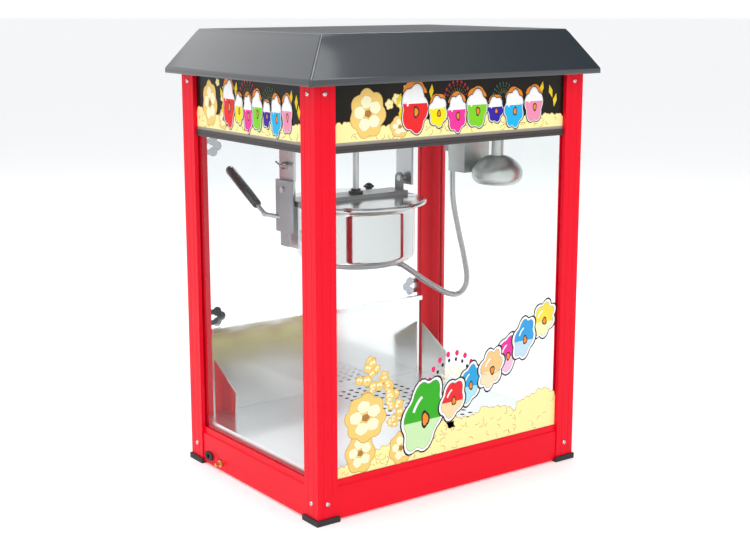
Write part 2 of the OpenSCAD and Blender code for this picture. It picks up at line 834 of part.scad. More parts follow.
// Lids: a fixed front half, and a rear half that lifts on a pin
module half_lid(y_cut, rear) {
  t = 1.5;
  rise = 2;
  intersection() {
    translate([kettle_x, kettle_y, 0]) rotate_extrude($fn = 96) polygon([
      [0, rim_z + rise], [lid_r - 8, rim_z], [lid_r, rim_z], [lid_r, rim_z + t],
      [lid_r - 8, rim_z + t], [0, rim_z + rise + t]
    ]);
    if (rear) block([-400, y_cut, 0], [400, 400, 600]);
    else block([-400, -400, 0], [400, y_cut, 600]);
  }
}
module lid_front() {
  color(chrome) difference() {
    half_lid(bridge_y0 - 0.2, false);
    for (k = [0:2])
      translate([kettle_x + 72 + k * 7, kettle_y - 45, rim_z - 1]) rotate([0, 0, 15])
        translate([-1, -8, 0]) cube([2, 16, 6]);
  }
}
module lid_rear() {
  color(chrome) difference() {
    union() {
      half_lid(flap_pin_y + 4, true);
      for (dx = [-30, 30]) {
        bar_x([kettle_x + dx - 8, flap_pin_y, flap_pin_z], 3, 16);
        block(
          [kettle_x + dx - 8, flap_pin_y, rim_z + 1],
          [kettle_x + dx + 8, flap_pin_y + 9, rim_z + 3.2]
        );
        block(
          [kettle_x + dx - 8, flap_pin_y - 1, rim_z + 1],
          [kettle_x + dx + 8, flap_pin_y + 2.9, flap_pin_z]
        );
      }
    }
    bar_x([kettle_x - 80, flap_pin_y, flap_pin_z], hinge_pin_r + run_gap, 160);
  }
}
knob_x = 64;
knob_y = 52;
module lid_knob() {
  z0 = rim_z + 2;
  color(black) translate([kettle_x + knob_x, kettle_y + knob_y, z0 + 0.6]) rotate_extrude() polygon([
    [0, 0], [6, 0], [5, 2], [5.5, 3.5], [9, 5], [9.5, 8], [7.5, 11], [4, 12.6], [0, 13]
  ]);
}

// Stirrer
module shaft_bush() {
  color("#3b3f42") difference() {
    union() {
      bar_z([kettle_x, kettle_y, bridge_z], 12, 4);
      bar_z([kettle_x, kettle_y, bridge_z - 2], 8, 2 + eps);
      bar_z([kettle_x, kettle_y, bridge_z + 4 - eps], 8, 4);
    }
    bar_z([kettle_x, kettle_y, bridge_z - 4], shaft_r + run_gap, 20);
  }
}
module stirrer() {
  arm = kettle_r - 14;
  tongue = shaft_r;
  color("#b9bcc0") translate([kettle_x, kettle_y, 0]) {
    bar_z([0, 0, pan_z - 8], shaft_r, shaft_top - dog_h - pan_z + 8);
    intersection() {
      bar_z([0, 0, shaft_top - dog_h - eps], shaft_r, dog_h);
      translate([-tongue / 2, -10, shaft_top - dog_h - 1]) cube([tongue, 20, dog_h + 2]);
    }
    bar_x([-arm, 0, pan_z - 5], 2.5, 2 * arm);
    bar_y([0, -arm * 0.7, pan_z - 5], 2.5, 1.4 * arm);
    for (s = [-1, 1]) rod([s * arm, 0, pan_z - 5], [s * arm, 0, pan_z + 16], 2.5);
  }
}

// Tilting lever
crank_top = tilt_z + 15;
crank_bottom = tilt_z - 68;
lever_r = 3.5;
grip_r = 8;
root = [crank_x + 4, kettle_y + 11, tilt_z - 46];
bend = [lever_x, kettle_y + 34, tilt_z - 42];
grip_to = [lever_x, door_in - 13, tilt_z + 20];
grip_axis = unit(grip_to - bend);
grip_from = bend + 25 * grip_axis;
rod_end = grip_from + 30 * grip_axis;
module lever_bracket() {
  color("#b4b6ba") difference() {
    union() {
      block([crank_x, arm_y0, crank_bottom], [crank_x + 6, arm_y1, crank_top]);
      block([crank_x, kettle_y - 12, crank_bottom - 22], [crank_x + 6, kettle_y + 8, crank_bottom + eps]);
    }
    bar_x([crank_x - 1, kettle_y, tilt_z], trunnion_r, 8);
    rod(root, bend, lever_r);
  }
}
module lever_rod() {
  color(chrome) {
    rod(root, bend, lever_r);
    translate(bend) sphere(r = lever_r + 1);
    rod(bend, rod_end, lever_r);
  }
}
module lever_grip() {
  l = norm(grip_to - grip_from);
  hole = norm(rod_end - grip_from);
  tilt = acos(grip_axis[2]);
  turn = atan2(grip_axis[1], grip_axis[0]);
  color(black) translate(grip_from) rotate([0, tilt, turn]) rotate_extrude() polygon([
    [lever_r, 0], [grip_r - 1.5, 0], [grip_r - 0.5, 3], [grip_r, l * 0.3], [grip_r, l - 8],
    [grip_r - 1, l - 3], [grip_r - 3, l - 0.8], [grip_r - 5, l], [0, l], [0, hole], [lever_r, hole]
  ]);
}

// Terminal box under the kettle, and the conduit that feeds it
lead_end = lead[len(lead) - 1];
module terminal_box() {
  x1 = lead_end[0] - 8;
  color("#b5b8b6") {
    block(
      [kettle_x + heater_r - 12, lead_end[1] - 12, kettle_z - 22],
      [x1, lead_end[1] + 12, kettle_z - 8]
    );
    rod(lead_end, lead_end + 12 * heading(lead, len(lead) - 1), 6.5);
  }
}
module conduit() {
  color("#8f9296") tube(lead, conduit_r);
}

// Crumb drawer: a folded tray with a lip to pull it by
module crumb_drawer() {
  t = sheet;
  y0 = drawer_y1 - drawer_l;
  x1 = drawer_x0 + drawer_w;
  color(steel) {
    difference() {
      block([drawer_x0, y0, drawer_z], [x1, drawer_y1, drawer_z + drawer_h]);
      block([drawer_x0 + t, y0 + t, drawer_z + t], [x1 - t, drawer_y1 - t, drawer_z + drawer_h + 1]);
    }
    block(
      [drawer_x0 + drawer_w / 2 - 30, drawer_y1 - eps, drawer_z + drawer_h - 8],
      [drawer_x0 + drawer_w / 2 + 30, drawer_y1 + 14, drawer_z + drawer_h - 5]
    );
  }
}

post_front_left();
post_front_right();
post_rear_left();
post_rear_right();
foot_caps();
base_rail_front();
base_rail_left();
base_rail_right();
base_rail_rear();
base_plate();
floor_deck();
back_guard();
guard_wings();
glass_front();
glass_left();
glass_right();
header_front();
header_sides();
control_panel();
header_trim();
ceiling_plate();
roof_soffit();
roof_shell();
stir_motor();
gearbox();
hanger_left();
hanger_right();
clamp_screw();
conduit_socket();
lamp_housing();
lamp_shade();
lamp_bulb();
post_hinges();
cabinet_screws();
cord_grommet();
earth_terminal();
kettle_pot();
heater_base();
kettle_bridge();
kettle_strap();
lid_front();
shaft_bush();
kettle_trunnions();
lever_bracket();
lever_rod();
lever_grip();
terminal_box();
conduit();
lid_rear();
lid_knob();
stirrer();
drive_coupling();
door_left();
door_right();
door_fittings_left();
door_fittings_right();
crumb_drawer();
switch_stir();
switch_heat();
switch_lamp();
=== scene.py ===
"""Counter-top popcorn machine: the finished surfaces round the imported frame."""
import math

import bmesh
import bpy
import numpy as np
from bpy.props import FloatProperty, FloatVectorProperty, IntProperty, PointerProperty
from bpy.types import Operator, Panel, PropertyGroup
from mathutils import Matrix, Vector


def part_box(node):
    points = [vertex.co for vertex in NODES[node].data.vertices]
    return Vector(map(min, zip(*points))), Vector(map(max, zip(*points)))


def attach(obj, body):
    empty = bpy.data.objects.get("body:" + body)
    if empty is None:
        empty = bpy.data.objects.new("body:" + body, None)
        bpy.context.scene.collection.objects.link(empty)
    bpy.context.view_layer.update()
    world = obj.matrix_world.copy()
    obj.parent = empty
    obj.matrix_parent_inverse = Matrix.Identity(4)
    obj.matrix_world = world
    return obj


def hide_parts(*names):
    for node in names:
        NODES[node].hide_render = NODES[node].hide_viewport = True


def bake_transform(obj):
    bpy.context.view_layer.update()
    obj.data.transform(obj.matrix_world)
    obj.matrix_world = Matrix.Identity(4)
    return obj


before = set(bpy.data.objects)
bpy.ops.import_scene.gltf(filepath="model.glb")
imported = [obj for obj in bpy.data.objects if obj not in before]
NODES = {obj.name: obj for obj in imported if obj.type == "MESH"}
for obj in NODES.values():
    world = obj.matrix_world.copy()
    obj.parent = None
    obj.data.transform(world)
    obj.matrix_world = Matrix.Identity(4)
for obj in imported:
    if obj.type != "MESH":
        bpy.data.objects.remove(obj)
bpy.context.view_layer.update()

bl_info = {
    "name": "Popcorn machine",
    "version": (1, 0, 0),
    "blender": (4, 5, 0),
    "location": "View3D > Sidebar > Popcorn",
    "description": "Builds the visible surfaces of a counter-top popcorn machine",
    "category": "Add Mesh",
}

MM = 0.001


def corner(node, end):
    """One corner of a CAD node's box as an array: end 0 is the lowest, 1 the highest."""
    return np.array(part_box(node)[end])


# Places that every piece is worked out from.
IN_X = -corner("post_front_left", 1)[0]
IN_Y = -corner("post_front_left", 1)[1]
GLASS_LO = corner("glass_front", 0)
BASE_TOP = corner("base_rail_front", 1)[2]
TRIM_HI = corner("header_trim", 1)[2]
POST_TOP = corner("post_rear_right", 1)[2]
POT_LO, POT_HI = corner("kettle_pot", 0), corner("kettle_pot", 1)
POT_X, POT_Y = (POT_LO[0] + POT_HI[0]) / 2, (POT_LO[1] + POT_HI[1]) / 2


# ---------------------------------------------------------------- settings

def colour(name, default, description):
    """A colour that a user would change."""
    return FloatVectorProperty(
        name=name, description=description, default=default, subtype="COLOR", min=0, max=1
    )


def length(name, default, description):
    """A length in metres that a user would change."""
    return FloatProperty(
        name=name, description=description, default=default, min=0, unit="LENGTH", precision=4
    )


class CabinetSettings(PropertyGroup):
    enamel: colour("Enamel", (0.86, 0.003, 0.020), "Colour of the posts and base rails")
    roof: colour("Roof", (0.010, 0.015, 0.020), "Colour of the roof's paint")
    edge_round: length("Edge radius", 0.0006, "Rounding of sheet and extrusion edges")
    hip_round: length("Hip radius", 0.004, "Rounding of the roof's hips and corners")


class PrintSettings(PropertyGroup):
    ground: colour("Header ground", (0.001, 0.001, 0.001), "Colour behind the header's pictures")
    seed: IntProperty(name="Seed", description="Order of the printed corn", default=7, min=0)


class KettleSettings(PropertyGroup):
    wall: length("Wall", 0.0015, "Thickness of the kettle's wall")
    lip: length("Lip radius", 0.0030, "Radius of the kettle's rolled rim")
    segments: IntProperty(name="Segments", description="Facets round", default=160, min=24)


class LeadSettings(PropertyGroup):
    radius: length("Radius", 0.005, "Radius of the flexible conduit")
    pitch: length("Pitch", 0.0032, "Pitch of the conduit's corrugation")


class StageSettings(PropertyGroup):
    focal: FloatProperty(name="Focal length", description="Lens in mm", default=65.26, min=20)
    floor: colour("Floor", (0.9, 0.9, 0.9), "Colour of the studio floor")


# ---------------------------------------------------------------- shader maths

class Sock:
    """A socket or number on which Python's operators add Math nodes."""

    def __init__(self, graph, value):
        self.graph = graph
        self.value = value

    def math(self, operation, *others):
        node = self.graph.node("ShaderNodeMath", {"operation": operation}, [self, *others])
        return Sock(self.graph, node.outputs[0])

    def __add__(self, other):
        return self.math("ADD", other)

    def __sub__(self, other):
        return self.math("SUBTRACT", other)

    def __mul__(self, other):
        return self.math("MULTIPLY", other)

    def __rsub__(self, other):
        return Sock(self.graph, other).math("SUBTRACT", self)

    def clamp(self):
        node = self.graph.node("ShaderNodeClamp", {}, [self, 0.0, 1.0])
        return Sock(self.graph, node.outputs[0])

    __radd__ = __add__
    __rmul__ = __mul__


class Graph:
    """A material's node tree. node() takes a type, its settings, then its sockets' values."""

    def __init__(self, name, world=None):
        self.material = world or bpy.data.materials.new(name)
        self.material.use_nodes = True
        self.tree = self.material.node_tree
        self.tree.nodes.clear()
        self.output = self.tree.nodes.new("ShaderNodeOutput" + ("World" if world else "Material"))

    def put(self, socket, value):
        if isinstance(value, Sock):
            value = value.value
        if isinstance(value, bpy.types.NodeSocket):
            self.tree.links.new(value, socket)
        elif socket.type == "RGBA":
            socket.default_value = (*value[:3], 1.0)
        else:
            socket.default_value = value

    def node(self, kind, settings, values=()):
        node = self.tree.nodes.new(kind)
        for key, value in settings.items():
            setattr(node, key, value)
        pairs = values.items() if isinstance(values, dict) else enumerate(values)
        for key, value in pairs:
            self.put(node.inputs[key], value)
        return node

    def sock(self, kind, settings, values=(), output=0):
        return Sock(self, self.node(kind, settings, values).outputs[output])

    def ramp(self, value, stops):
        """A colour ramp whose stops are (place, colour)."""
        node = self.node("ShaderNodeValToRGB", {}, [value])
        elements = node.color_ramp.elements
        while len(elements) < len(stops):
            elements.new(0.5)
        for element, (place, paint) in zip(elements, stops):
            element.position = place
            element.color = (*paint[:3], 1.0)
        return Sock(self, node.outputs[0])

    def place(self, scale=(1, 1, 1)):
        """Object coordinates, stretched."""
        coords = self.sock("ShaderNodeTexCoord", {}, (), "Object")
        return self.sock("ShaderNodeMapping", {}, {"Vector": coords, "Scale": scale})

    def noise(self, scale, detail=3.0, stretch=(1, 1, 1)):
        return self.sock(
            "ShaderNodeTexNoise", {},
            {"Vector": self.place(stretch), "Scale": scale, "Detail": detail, "Roughness": 0.55},
            "Fac",
        )

    def bump(self, height, strength, distance):
        return self.sock(
            "ShaderNodeBump", {}, {"Height": height, "Strength": strength, "Distance": distance}
        )

    def mix(self, fac, a, b):
        """A colour mix from a to b."""
        node = self.tree.nodes.new("ShaderNodeMix")
        node.data_type = "RGBA"
        self.put(node.inputs["Factor"], fac)
        self.put(node.inputs["A"], a)
        self.put(node.inputs["B"], b)
        outputs = [o for o in node.outputs if o.type == "RGBA"]
        return Sock(self, outputs[0])

    def principled(self, **values):
        names = {
            "base": "Base Color", "rough": "Roughness", "metal": "Metallic",
            "coat": "Coat Weight", "coat_rough": "Coat Roughness", "normal": "Normal",
            "alpha": "Alpha", "spec": "Specular IOR Level", "emit": "Emission Color",
            "emit_strength": "Emission Strength", "ior": "IOR",
            "anisotropic": "Anisotropic", "transmission": "Transmission Weight",
        }
        return self.node("ShaderNodeBsdfPrincipled", {}, {names[k]: v for k, v in values.items()})

    def finish(self, shader):
        self.tree.links.new(shader.outputs[0], self.output.inputs["Surface"])
        return self.material


# ---------------------------------------------------------------- materials

def enamel_paint(settings):
    """Powder-coated red: fine orange peel, slightly uneven gloss, darker low down in the grain."""
    g = Graph("red_enamel")
    peel = g.noise(900, 2)
    cloud = g.noise(9, 4)
    draw = g.noise(240, 2, (1, 1, 0.02))
    deep = tuple(0.86 * c for c in settings.enamel)
    shader = g.principled(
        base=g.mix(cloud * 0.55, settings.enamel, deep),
        rough=0.26 + cloud * 0.12,
        spec=0.14,
        normal=g.bump(peel * 0.5 + draw, 0.10, 0.0004),
    )
    return g.finish(shader)


def roof_paint(settings):
    """Semi-gloss dark paint on sheet steel, with a broad ripple and fine peel."""
    g = Graph("roof_paint")
    ripple = g.noise(5, 2)
    peel = g.noise(700, 2)
    lighter = tuple(min(1, 1.5 * c + 0.004) for c in settings.roof)
    normal = g.sock("ShaderNodeNewGeometry", {}, (), "Normal")
    flat = (g.sock("ShaderNodeSeparateXYZ", {}, [normal], "Z") * 20 - 19).clamp()
    shader = g.principled(
        base=g.mix(ripple, settings.roof, lighter),
        rough=0.36 + ripple * 0.14 + flat * 0.3,
        coat=1.0 - flat, coat_rough=0.09,
        normal=g.bump(ripple * 3 + peel * 0.1, 0.08, 0.0012),
    )
    return g.finish(shader)


def brushed_sheet(name, tint, grain, rough=0.24):
    """Brushed stainless: hair-line scratches along one axis and faint smears."""
    g = Graph(name)
    hair = g.noise(420, 3, grain)
    smear = g.noise(11, 4)
    dull = tuple(0.86 * c for c in tint)
    shader = g.principled(
        base=g.mix(hair * 0.6, tint, dull),
        metal=1.0,
        rough=rough + hair * 0.14 + smear * 0.08,
        normal=g.bump(hair, 0.06, 0.0003),
    )
    return g.finish(shader)


def polished_sheet(name, tint, rough=0.07):
    """Mirror-polished stainless with a very slight waviness and fingerprint haze."""
    g = Graph(name)
    wave = g.noise(7, 2)
    haze = g.noise(38, 5)
    shader = g.principled(
        base=tint, metal=1.0,
        rough=rough + (haze - 0.45).clamp() * 0.22,
        normal=g.bump(wave, 0.10, 0.002),
    )
    return g.finish(shader)


def cast_metal(name, tint, rough=0.42):
    """Cast or spun grey metal with a sandy grain."""
    g = Graph(name)
    sand = g.noise(650, 3)
    cloud = g.noise(22, 4)
    dark = tuple(0.72 * c for c in tint)
    shader = g.principled(
        base=g.mix(cloud, tint, dark), metal=0.85,
        rough=rough + cloud * 0.14,
        normal=g.bump(sand, 0.16, 0.0004),
    )
    return g.finish(shader)


def moulded(name, tint, rough=0.3, grain=500, strength=0.12, coat=0.0):
    """Moulded plastic or rubber with a fine spark-eroded grain."""
    g = Graph(name)
    spark = g.noise(grain, 2)
    cloud = g.noise(16, 3)
    shader = g.principled(
        base=g.mix(cloud * 0.5, tint, tuple(min(1, 1.25 * c + 0.004) for c in tint)),
        rough=rough + cloud * 0.1,
        coat=coat, coat_rough=0.05,
        normal=g.bump(spark, strength, 0.0003),
    )
    return g.finish(shader)


def clear_sheet(name, tint, body=0.0):
    """Clear sheet: see-through, with a mirror film that grows at grazing angles."""
    g = Graph(name)
    smear = g.noise(6, 4)
    fresnel = g.sock("ShaderNodeFresnel", {}, {"IOR": 1.45})
    gloss = g.principled(base=(1, 1, 1), metal=1.0, rough=0.01 + smear * 0.02)
    through = g.node("ShaderNodeBsdfTransparent", {}, {"Color": tint})
    entering = 1.0 - g.sock("ShaderNodeNewGeometry", {}, (), "Backfacing")
    fac = (fresnel * 0.5 + body).clamp() * entering
    mix = g.node("ShaderNodeMixShader", {}, [fac])
    g.tree.links.new(through.outputs[0], mix.inputs[1])
    g.tree.links.new(gloss.outputs[0], mix.inputs[2])
    return g.finish(mix)


def printed_film(name, rough=0.2):
    """Printed film: the ink is the mesh's own colour, under a glossy laminate."""
    g = Graph(name)
    ink = g.sock("ShaderNodeAttribute", {"attribute_name": "ink"}, (), "Color")
    grain = g.noise(1500, 2)
    cloud = g.noise(30, 3)
    shade = g.mix(cloud * 0.05, ink, (0.35, 0.28, 0.12))
    shader = g.principled(
        base=shade, rough=rough + cloud * 0.1, spec=0.2,
        normal=g.bump(grain, 0.05, 0.0002),
    )
    return g.finish(shader)


def frosted_bulb():
    """Warm frosted lamp glass, faintly alight."""
    g = Graph("bulb_glass")
    cloud = g.noise(60, 2)
    shader = g.principled(
        base=(0.98, 0.93, 0.80), rough=0.25 + cloud * 0.1,
        emit=(1.0, 0.82, 0.55), emit_strength=0.6, coat=0.4, coat_rough=0.05,
    )
    return g.finish(shader)


def brass_metal():
    """Turned brass with fine rings and a little tarnish."""
    g = Graph("brass")
    tarnish = g.noise(70, 4)
    shader = g.principled(
        base=g.mix(tarnish, (0.80, 0.58, 0.24), (0.50, 0.32, 0.12)), metal=1.0,
        rough=0.22 + tarnish * 0.2,
    )
    return g.finish(shader)


# ---------------------------------------------------------------- mesh helpers

def add_mesh(name, points, faces, material, smooth=True):
    """A new object with its place in its mesh; points is (n, 3) and faces a list of index rows."""
    mesh = bpy.data.meshes.new(name)
    mesh.from_pydata(np.asarray(points, float).tolist(), [], [list(f) for f in faces])
    mesh.update()
    work = bmesh.new()
    work.from_mesh(mesh)
    bmesh.ops.remove_doubles(work, verts=work.verts, dist=1e-7)
    bmesh.ops.recalc_face_normals(work, faces=work.faces)
    work.to_mesh(mesh)
    work.free()
    mesh.polygons.foreach_set("use_smooth", np.full(len(mesh.polygons), smooth))
    if smooth:
        mesh.set_sharp_from_angle(angle=math.radians(38))
    mesh.materials.append(material)
    piece = bpy.data.objects.new(name, mesh)
    bpy.context.scene.collection.objects.link(piece)
    return piece


def grid_faces(rows, columns, close_rows=False, close_columns=False):
    """Quads between neighbours of a rows-by-columns grid; a closed way joins last to first."""
    i = np.arange(rows if close_rows else rows - 1)
    j = np.arange(columns if close_columns else columns - 1)
    i, j = (a.ravel() for a in np.meshgrid(i, j, indexing="ij"))
    i2, j2 = (i + 1) % rows, (j + 1) % columns
    return np.stack(
        [i * columns + j, i * columns + j2, i2 * columns + j2, i2 * columns + j], axis=1
    )


def revolve(name, profile, origin, material, segments=96, axis="z"):
    """Turns a profile of (radius, height) about an axis through origin:
    point(a, t) = origin + radius(t) * (cos a, sin a) + height(t) * axis."""
    profile = np.asarray(profile, float)
    a = np.linspace(0, 2 * math.pi, segments, endpoint=False)[:, None]
    across = profile[None, :, 0] * np.cos(a)
    over = profile[None, :, 0] * np.sin(a)
    along = np.broadcast_to(profile[None, :, 1], across.shape)
    order = {"z": (across, over, along), "x": (along, across, over), "y": (over, along, across)}
    points = np.stack(order[axis], axis=-1).reshape(-1, 3) + np.asarray(origin, float)
    closed = np.allclose(profile[0], profile[-1])
    count = len(profile) - 1 if closed else len(profile)
    if closed:
        points = points.reshape(segments, -1, 3)[:, :-1].reshape(-1, 3)
    faces = grid_faces(segments, count, close_rows=True, close_columns=closed)
    return add_mesh(name, points, faces, material)


def frames_along(path):
    """Unit tangent, side and normal at each point of a path, turned as little as possible."""
    path = np.asarray(path, float)
    tangent = np.gradient(path, axis=0)
    tangent /= np.linalg.norm(tangent, axis=1, keepdims=True)
    side = np.cross(tangent, np.roll([0.0, 1.0, 0.0], 0))
    weak = np.linalg.norm(side, axis=1) < 1e-3
    side[weak] = np.cross(tangent[weak], [1.0, 0.0, 0.0])
    side /= np.linalg.norm(side, axis=1, keepdims=True)
    return tangent, side, np.cross(side, tangent)


def sweep(name, path, radius, material, sides=20, cap=True):
    """A round section carried along a path:
    point(s, a) = path(s) + r(s) (side cos a + normal sin a)."""
    path = np.asarray(path, float)
    radius = np.broadcast_to(np.asarray(radius, float), (len(path),))
    _, side, normal = frames_along(path)
    a = np.linspace(0, 2 * math.pi, sides, endpoint=False)
    ring = side[:, None] * np.cos(a)[None, :, None] + normal[:, None] * np.sin(a)[None, :, None]
    points = (path[:, None] + radius[:, None, None] * ring).reshape(-1, 3)
    faces = [tuple(f) for f in grid_faces(len(path), sides, close_columns=True)]
    if cap:
        faces += [tuple(range(sides)), tuple(range((len(path) - 1) * sides, len(path) * sides))]
    return add_mesh(name, points, faces, material)


def smooth_route(points, step):
    """Catmull-Rom curve through points, resampled about every step along its length."""
    p = np.asarray(points, float)
    p = np.vstack([2 * p[0] - p[1], p, 2 * p[-1] - p[-2]])
    t = np.linspace(0, 1, 24, endpoint=False)[:, None]
    a, b, c, d = p[:-3, None], p[1:-2, None], p[2:-1, None], p[3:, None]
    curve = 0.5 * (
        2 * b + (c - a) * t + (2 * a - 5 * b + 4 * c - d) * t ** 2
        + (3 * b - a - 3 * c + d) * t ** 3
    )
    curve = np.vstack([curve.reshape(-1, 3), p[-2]])
    run = np.concatenate([[0], np.cumsum(np.linalg.norm(np.diff(curve, axis=0), axis=1))])
    even = np.linspace(0, run[-1], max(2, int(round(run[-1] / step)) + 1))
    return np.stack([np.interp(even, run, curve[:, k]) for k in range(3)], axis=1), run[-1]


def arc(centre, radius, start, end, steps=8):
    """Points (r, z) of an arc between two angles in degrees."""
    a = np.radians(np.linspace(start, end, steps + 1))
    return np.stack([centre[0] + radius * np.cos(a), centre[1] + radius * np.sin(a)], axis=1)


def dress(piece, body, slot, *nodes):
    """Rides a new piece on its body and hides the CAD nodes it stands for. The slot is not used."""
    if nodes:
        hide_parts(*nodes)
    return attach(piece, body)


def soften(node, radius, segments=2, angle=35):
    """Rounds a CAD node's edges with live modifiers; the node's own mesh stays as it is."""
    piece = NODES[node]
    weld = piece.modifiers.new("weld", "WELD")
    weld.merge_threshold = 1e-5
    bevel = piece.modifiers.new("edges", "BEVEL")
    bevel.width = radius
    bevel.segments = segments
    bevel.limit_method = "ANGLE"
    bevel.angle_limit = math.radians(angle)
    bevel.harden_normals = False
    bevel.use_clamp_overlap = True


def paint(material, *nodes):
    """Gives CAD nodes a material."""
    for node in nodes:
        mesh = NODES[node].data
        mesh.materials.clear()
        mesh.materials.append(material)


HAIR_X, HAIR_Z = (0.03, 1, 1), (1, 1, 0.03)
FINISHES = {
    "stainless": (brushed_sheet, (0.66, 0.66, 0.66), HAIR_X),
    "stainless_upright": (brushed_sheet, (0.58, 0.58, 0.59), HAIR_Z),
    "bridge_steel": (brushed_sheet, (0.24, 0.24, 0.24), HAIR_X, 0.2),
    "polished_steel": (polished_sheet, (0.62, 0.62, 0.62)),
    "deck_steel": (brushed_sheet, (0.90, 0.90, 0.91), HAIR_X, 0.2),
    "guard_steel": (polished_sheet, (0.88, 0.88, 0.89), 0.12),
    "lid_steel": (polished_sheet, (0.48, 0.48, 0.49), 0.14),
    "chrome_fitting": (polished_sheet, (0.46, 0.46, 0.48), 0.08),
    "grey_metal": (cast_metal, (0.42, 0.42, 0.45)),
    "lamp_metal": (cast_metal, (0.66, 0.70, 0.68), 0.3),
    "cast_alloy": (cast_metal, (0.42, 0.43, 0.45), 0.5),
    "trim_black": (moulded, (0.038, 0.031, 0.029), 0.3),
    "panel_grey": (moulded, (0.60, 0.61, 0.63), 0.34),
    "black_rubber": (moulded, (0.012, 0.012, 0.012), 0.55, 420, 0.3),
    "black_plastic": (moulded, (0.008, 0.008, 0.009), 0.12, 300, 0.05, 0.6),
    "printed_panel": (printed_film,),
    "clear_glass": (clear_sheet, (0.985, 0.998, 0.995)),
    "clear_acrylic": (clear_sheet, (0.985, 0.99, 0.995), 0.01),
    "conduit_metal": (polished_sheet, (0.48, 0.48, 0.49), 0.12),
}
ENAMELS = {"red_enamel": enamel_paint, "roof_paint": roof_paint}
SINGLES = {"bulb_glass": frosted_bulb, "brass": brass_metal}
MADE = {}


class Settings:
    """The scene's property groups under short names."""

    def __init__(self, scene):
        self.cabinet = scene.popcorn_cabinet
        self.prints = scene.popcorn_prints
        self.kettle = scene.popcorn_kettle
        self.lead = scene.popcorn_lead
        self.stage = scene.popcorn_stage


def finish_of(name):
    """The named finish, made the first time that a piece asks for it."""
    if name not in MADE:
        if name in ENAMELS:
            MADE[name] = ENAMELS[name](Settings(bpy.context.scene).cabinet)
        elif name in SINGLES:
            MADE[name] = SINGLES[name]()
        else:
            maker, *given = FINISHES[name]
            MADE[name] = maker(name, *given)
    return MADE[name]


class Maker(Operator):
    """Base of the operators: build() makes the pieces."""

    bl_options = {"REGISTER", "UNDO"}

    def execute(self, context):
        self.build(Settings(context.scene))
        return {"FINISHED"}


# ---------------------------------------------------------------- cabinet

class POPCORN_OT_cabinet(Maker):
    """Finishes and edge rounding of the posts, rails, deck, panels and drive"""

    bl_idname = "popcorn.cabinet"
    bl_label = "Cabinet"

    def build(self, s):
        posts = ["post_front_left", "post_front_right", "post_rear_left", "post_rear_right"]
        rails = ["base_rail_front", "base_rail_left", "base_rail_right", "base_rail_rear"]
        folded = ["base_plate", "crumb_drawer", "kettle_strap"]
        arms = ["hanger_left", "hanger_right"]
        paint(finish_of("red_enamel"), *posts, *rails)
        paint(finish_of("black_rubber"), "foot_caps", "cord_grommet")
        paint(finish_of("stainless"), *folded, "ceiling_plate")
        paint(finish_of("deck_steel"), "floor_deck")
        paint(finish_of("stainless_upright"), *arms)
        paint(finish_of("guard_steel"), "back_guard", "guard_wings")
        paint(finish_of("chrome_fitting"), "post_hinges", "clamp_screw")
        paint(finish_of("trim_black"), "header_trim", "roof_soffit")
        paint(finish_of("panel_grey"), "control_panel")
        paint(finish_of("black_plastic"), "switch_stir", "switch_heat", "switch_lamp")
        paint(finish_of("cast_alloy"), "gearbox", "stir_motor", "drive_coupling")
        paint(finish_of("brass"), "earth_terminal")
        radius = s.cabinet.edge_round
        for node in posts + rails + ["foot_caps", "back_guard", "guard_wings"]:
            soften(node, radius)
        for node in folded + arms + ["header_trim", "lamp_housing", "conduit_socket"]:
            soften(node, radius * 0.6)
        for node in ["control_panel", "switch_stir", "switch_heat", "switch_lamp", "gearbox"]:
            soften(node, radius * 0.8)


def rounded_ring(half_x, half_y, radius, z, steps=6):
    """Rounded rectangle at height z: a quarter circle of the radius about each inner corner."""
    radius = max(radius, 1e-6)
    quarter = np.linspace(0, math.pi / 2, steps + 1)
    turns = quarter[None] + np.arange(4)[:, None] * math.pi / 2
    centre_x = np.array([1, -1, -1, 1])[:, None] * (half_x - radius)
    centre_y = np.array([1, 1, -1, -1])[:, None] * (half_y - radius)
    x = centre_x + radius * np.cos(turns)
    y = centre_y + radius * np.sin(turns)
    return np.stack([x.ravel(), y.ravel(), np.full(x.size, z)], axis=1)


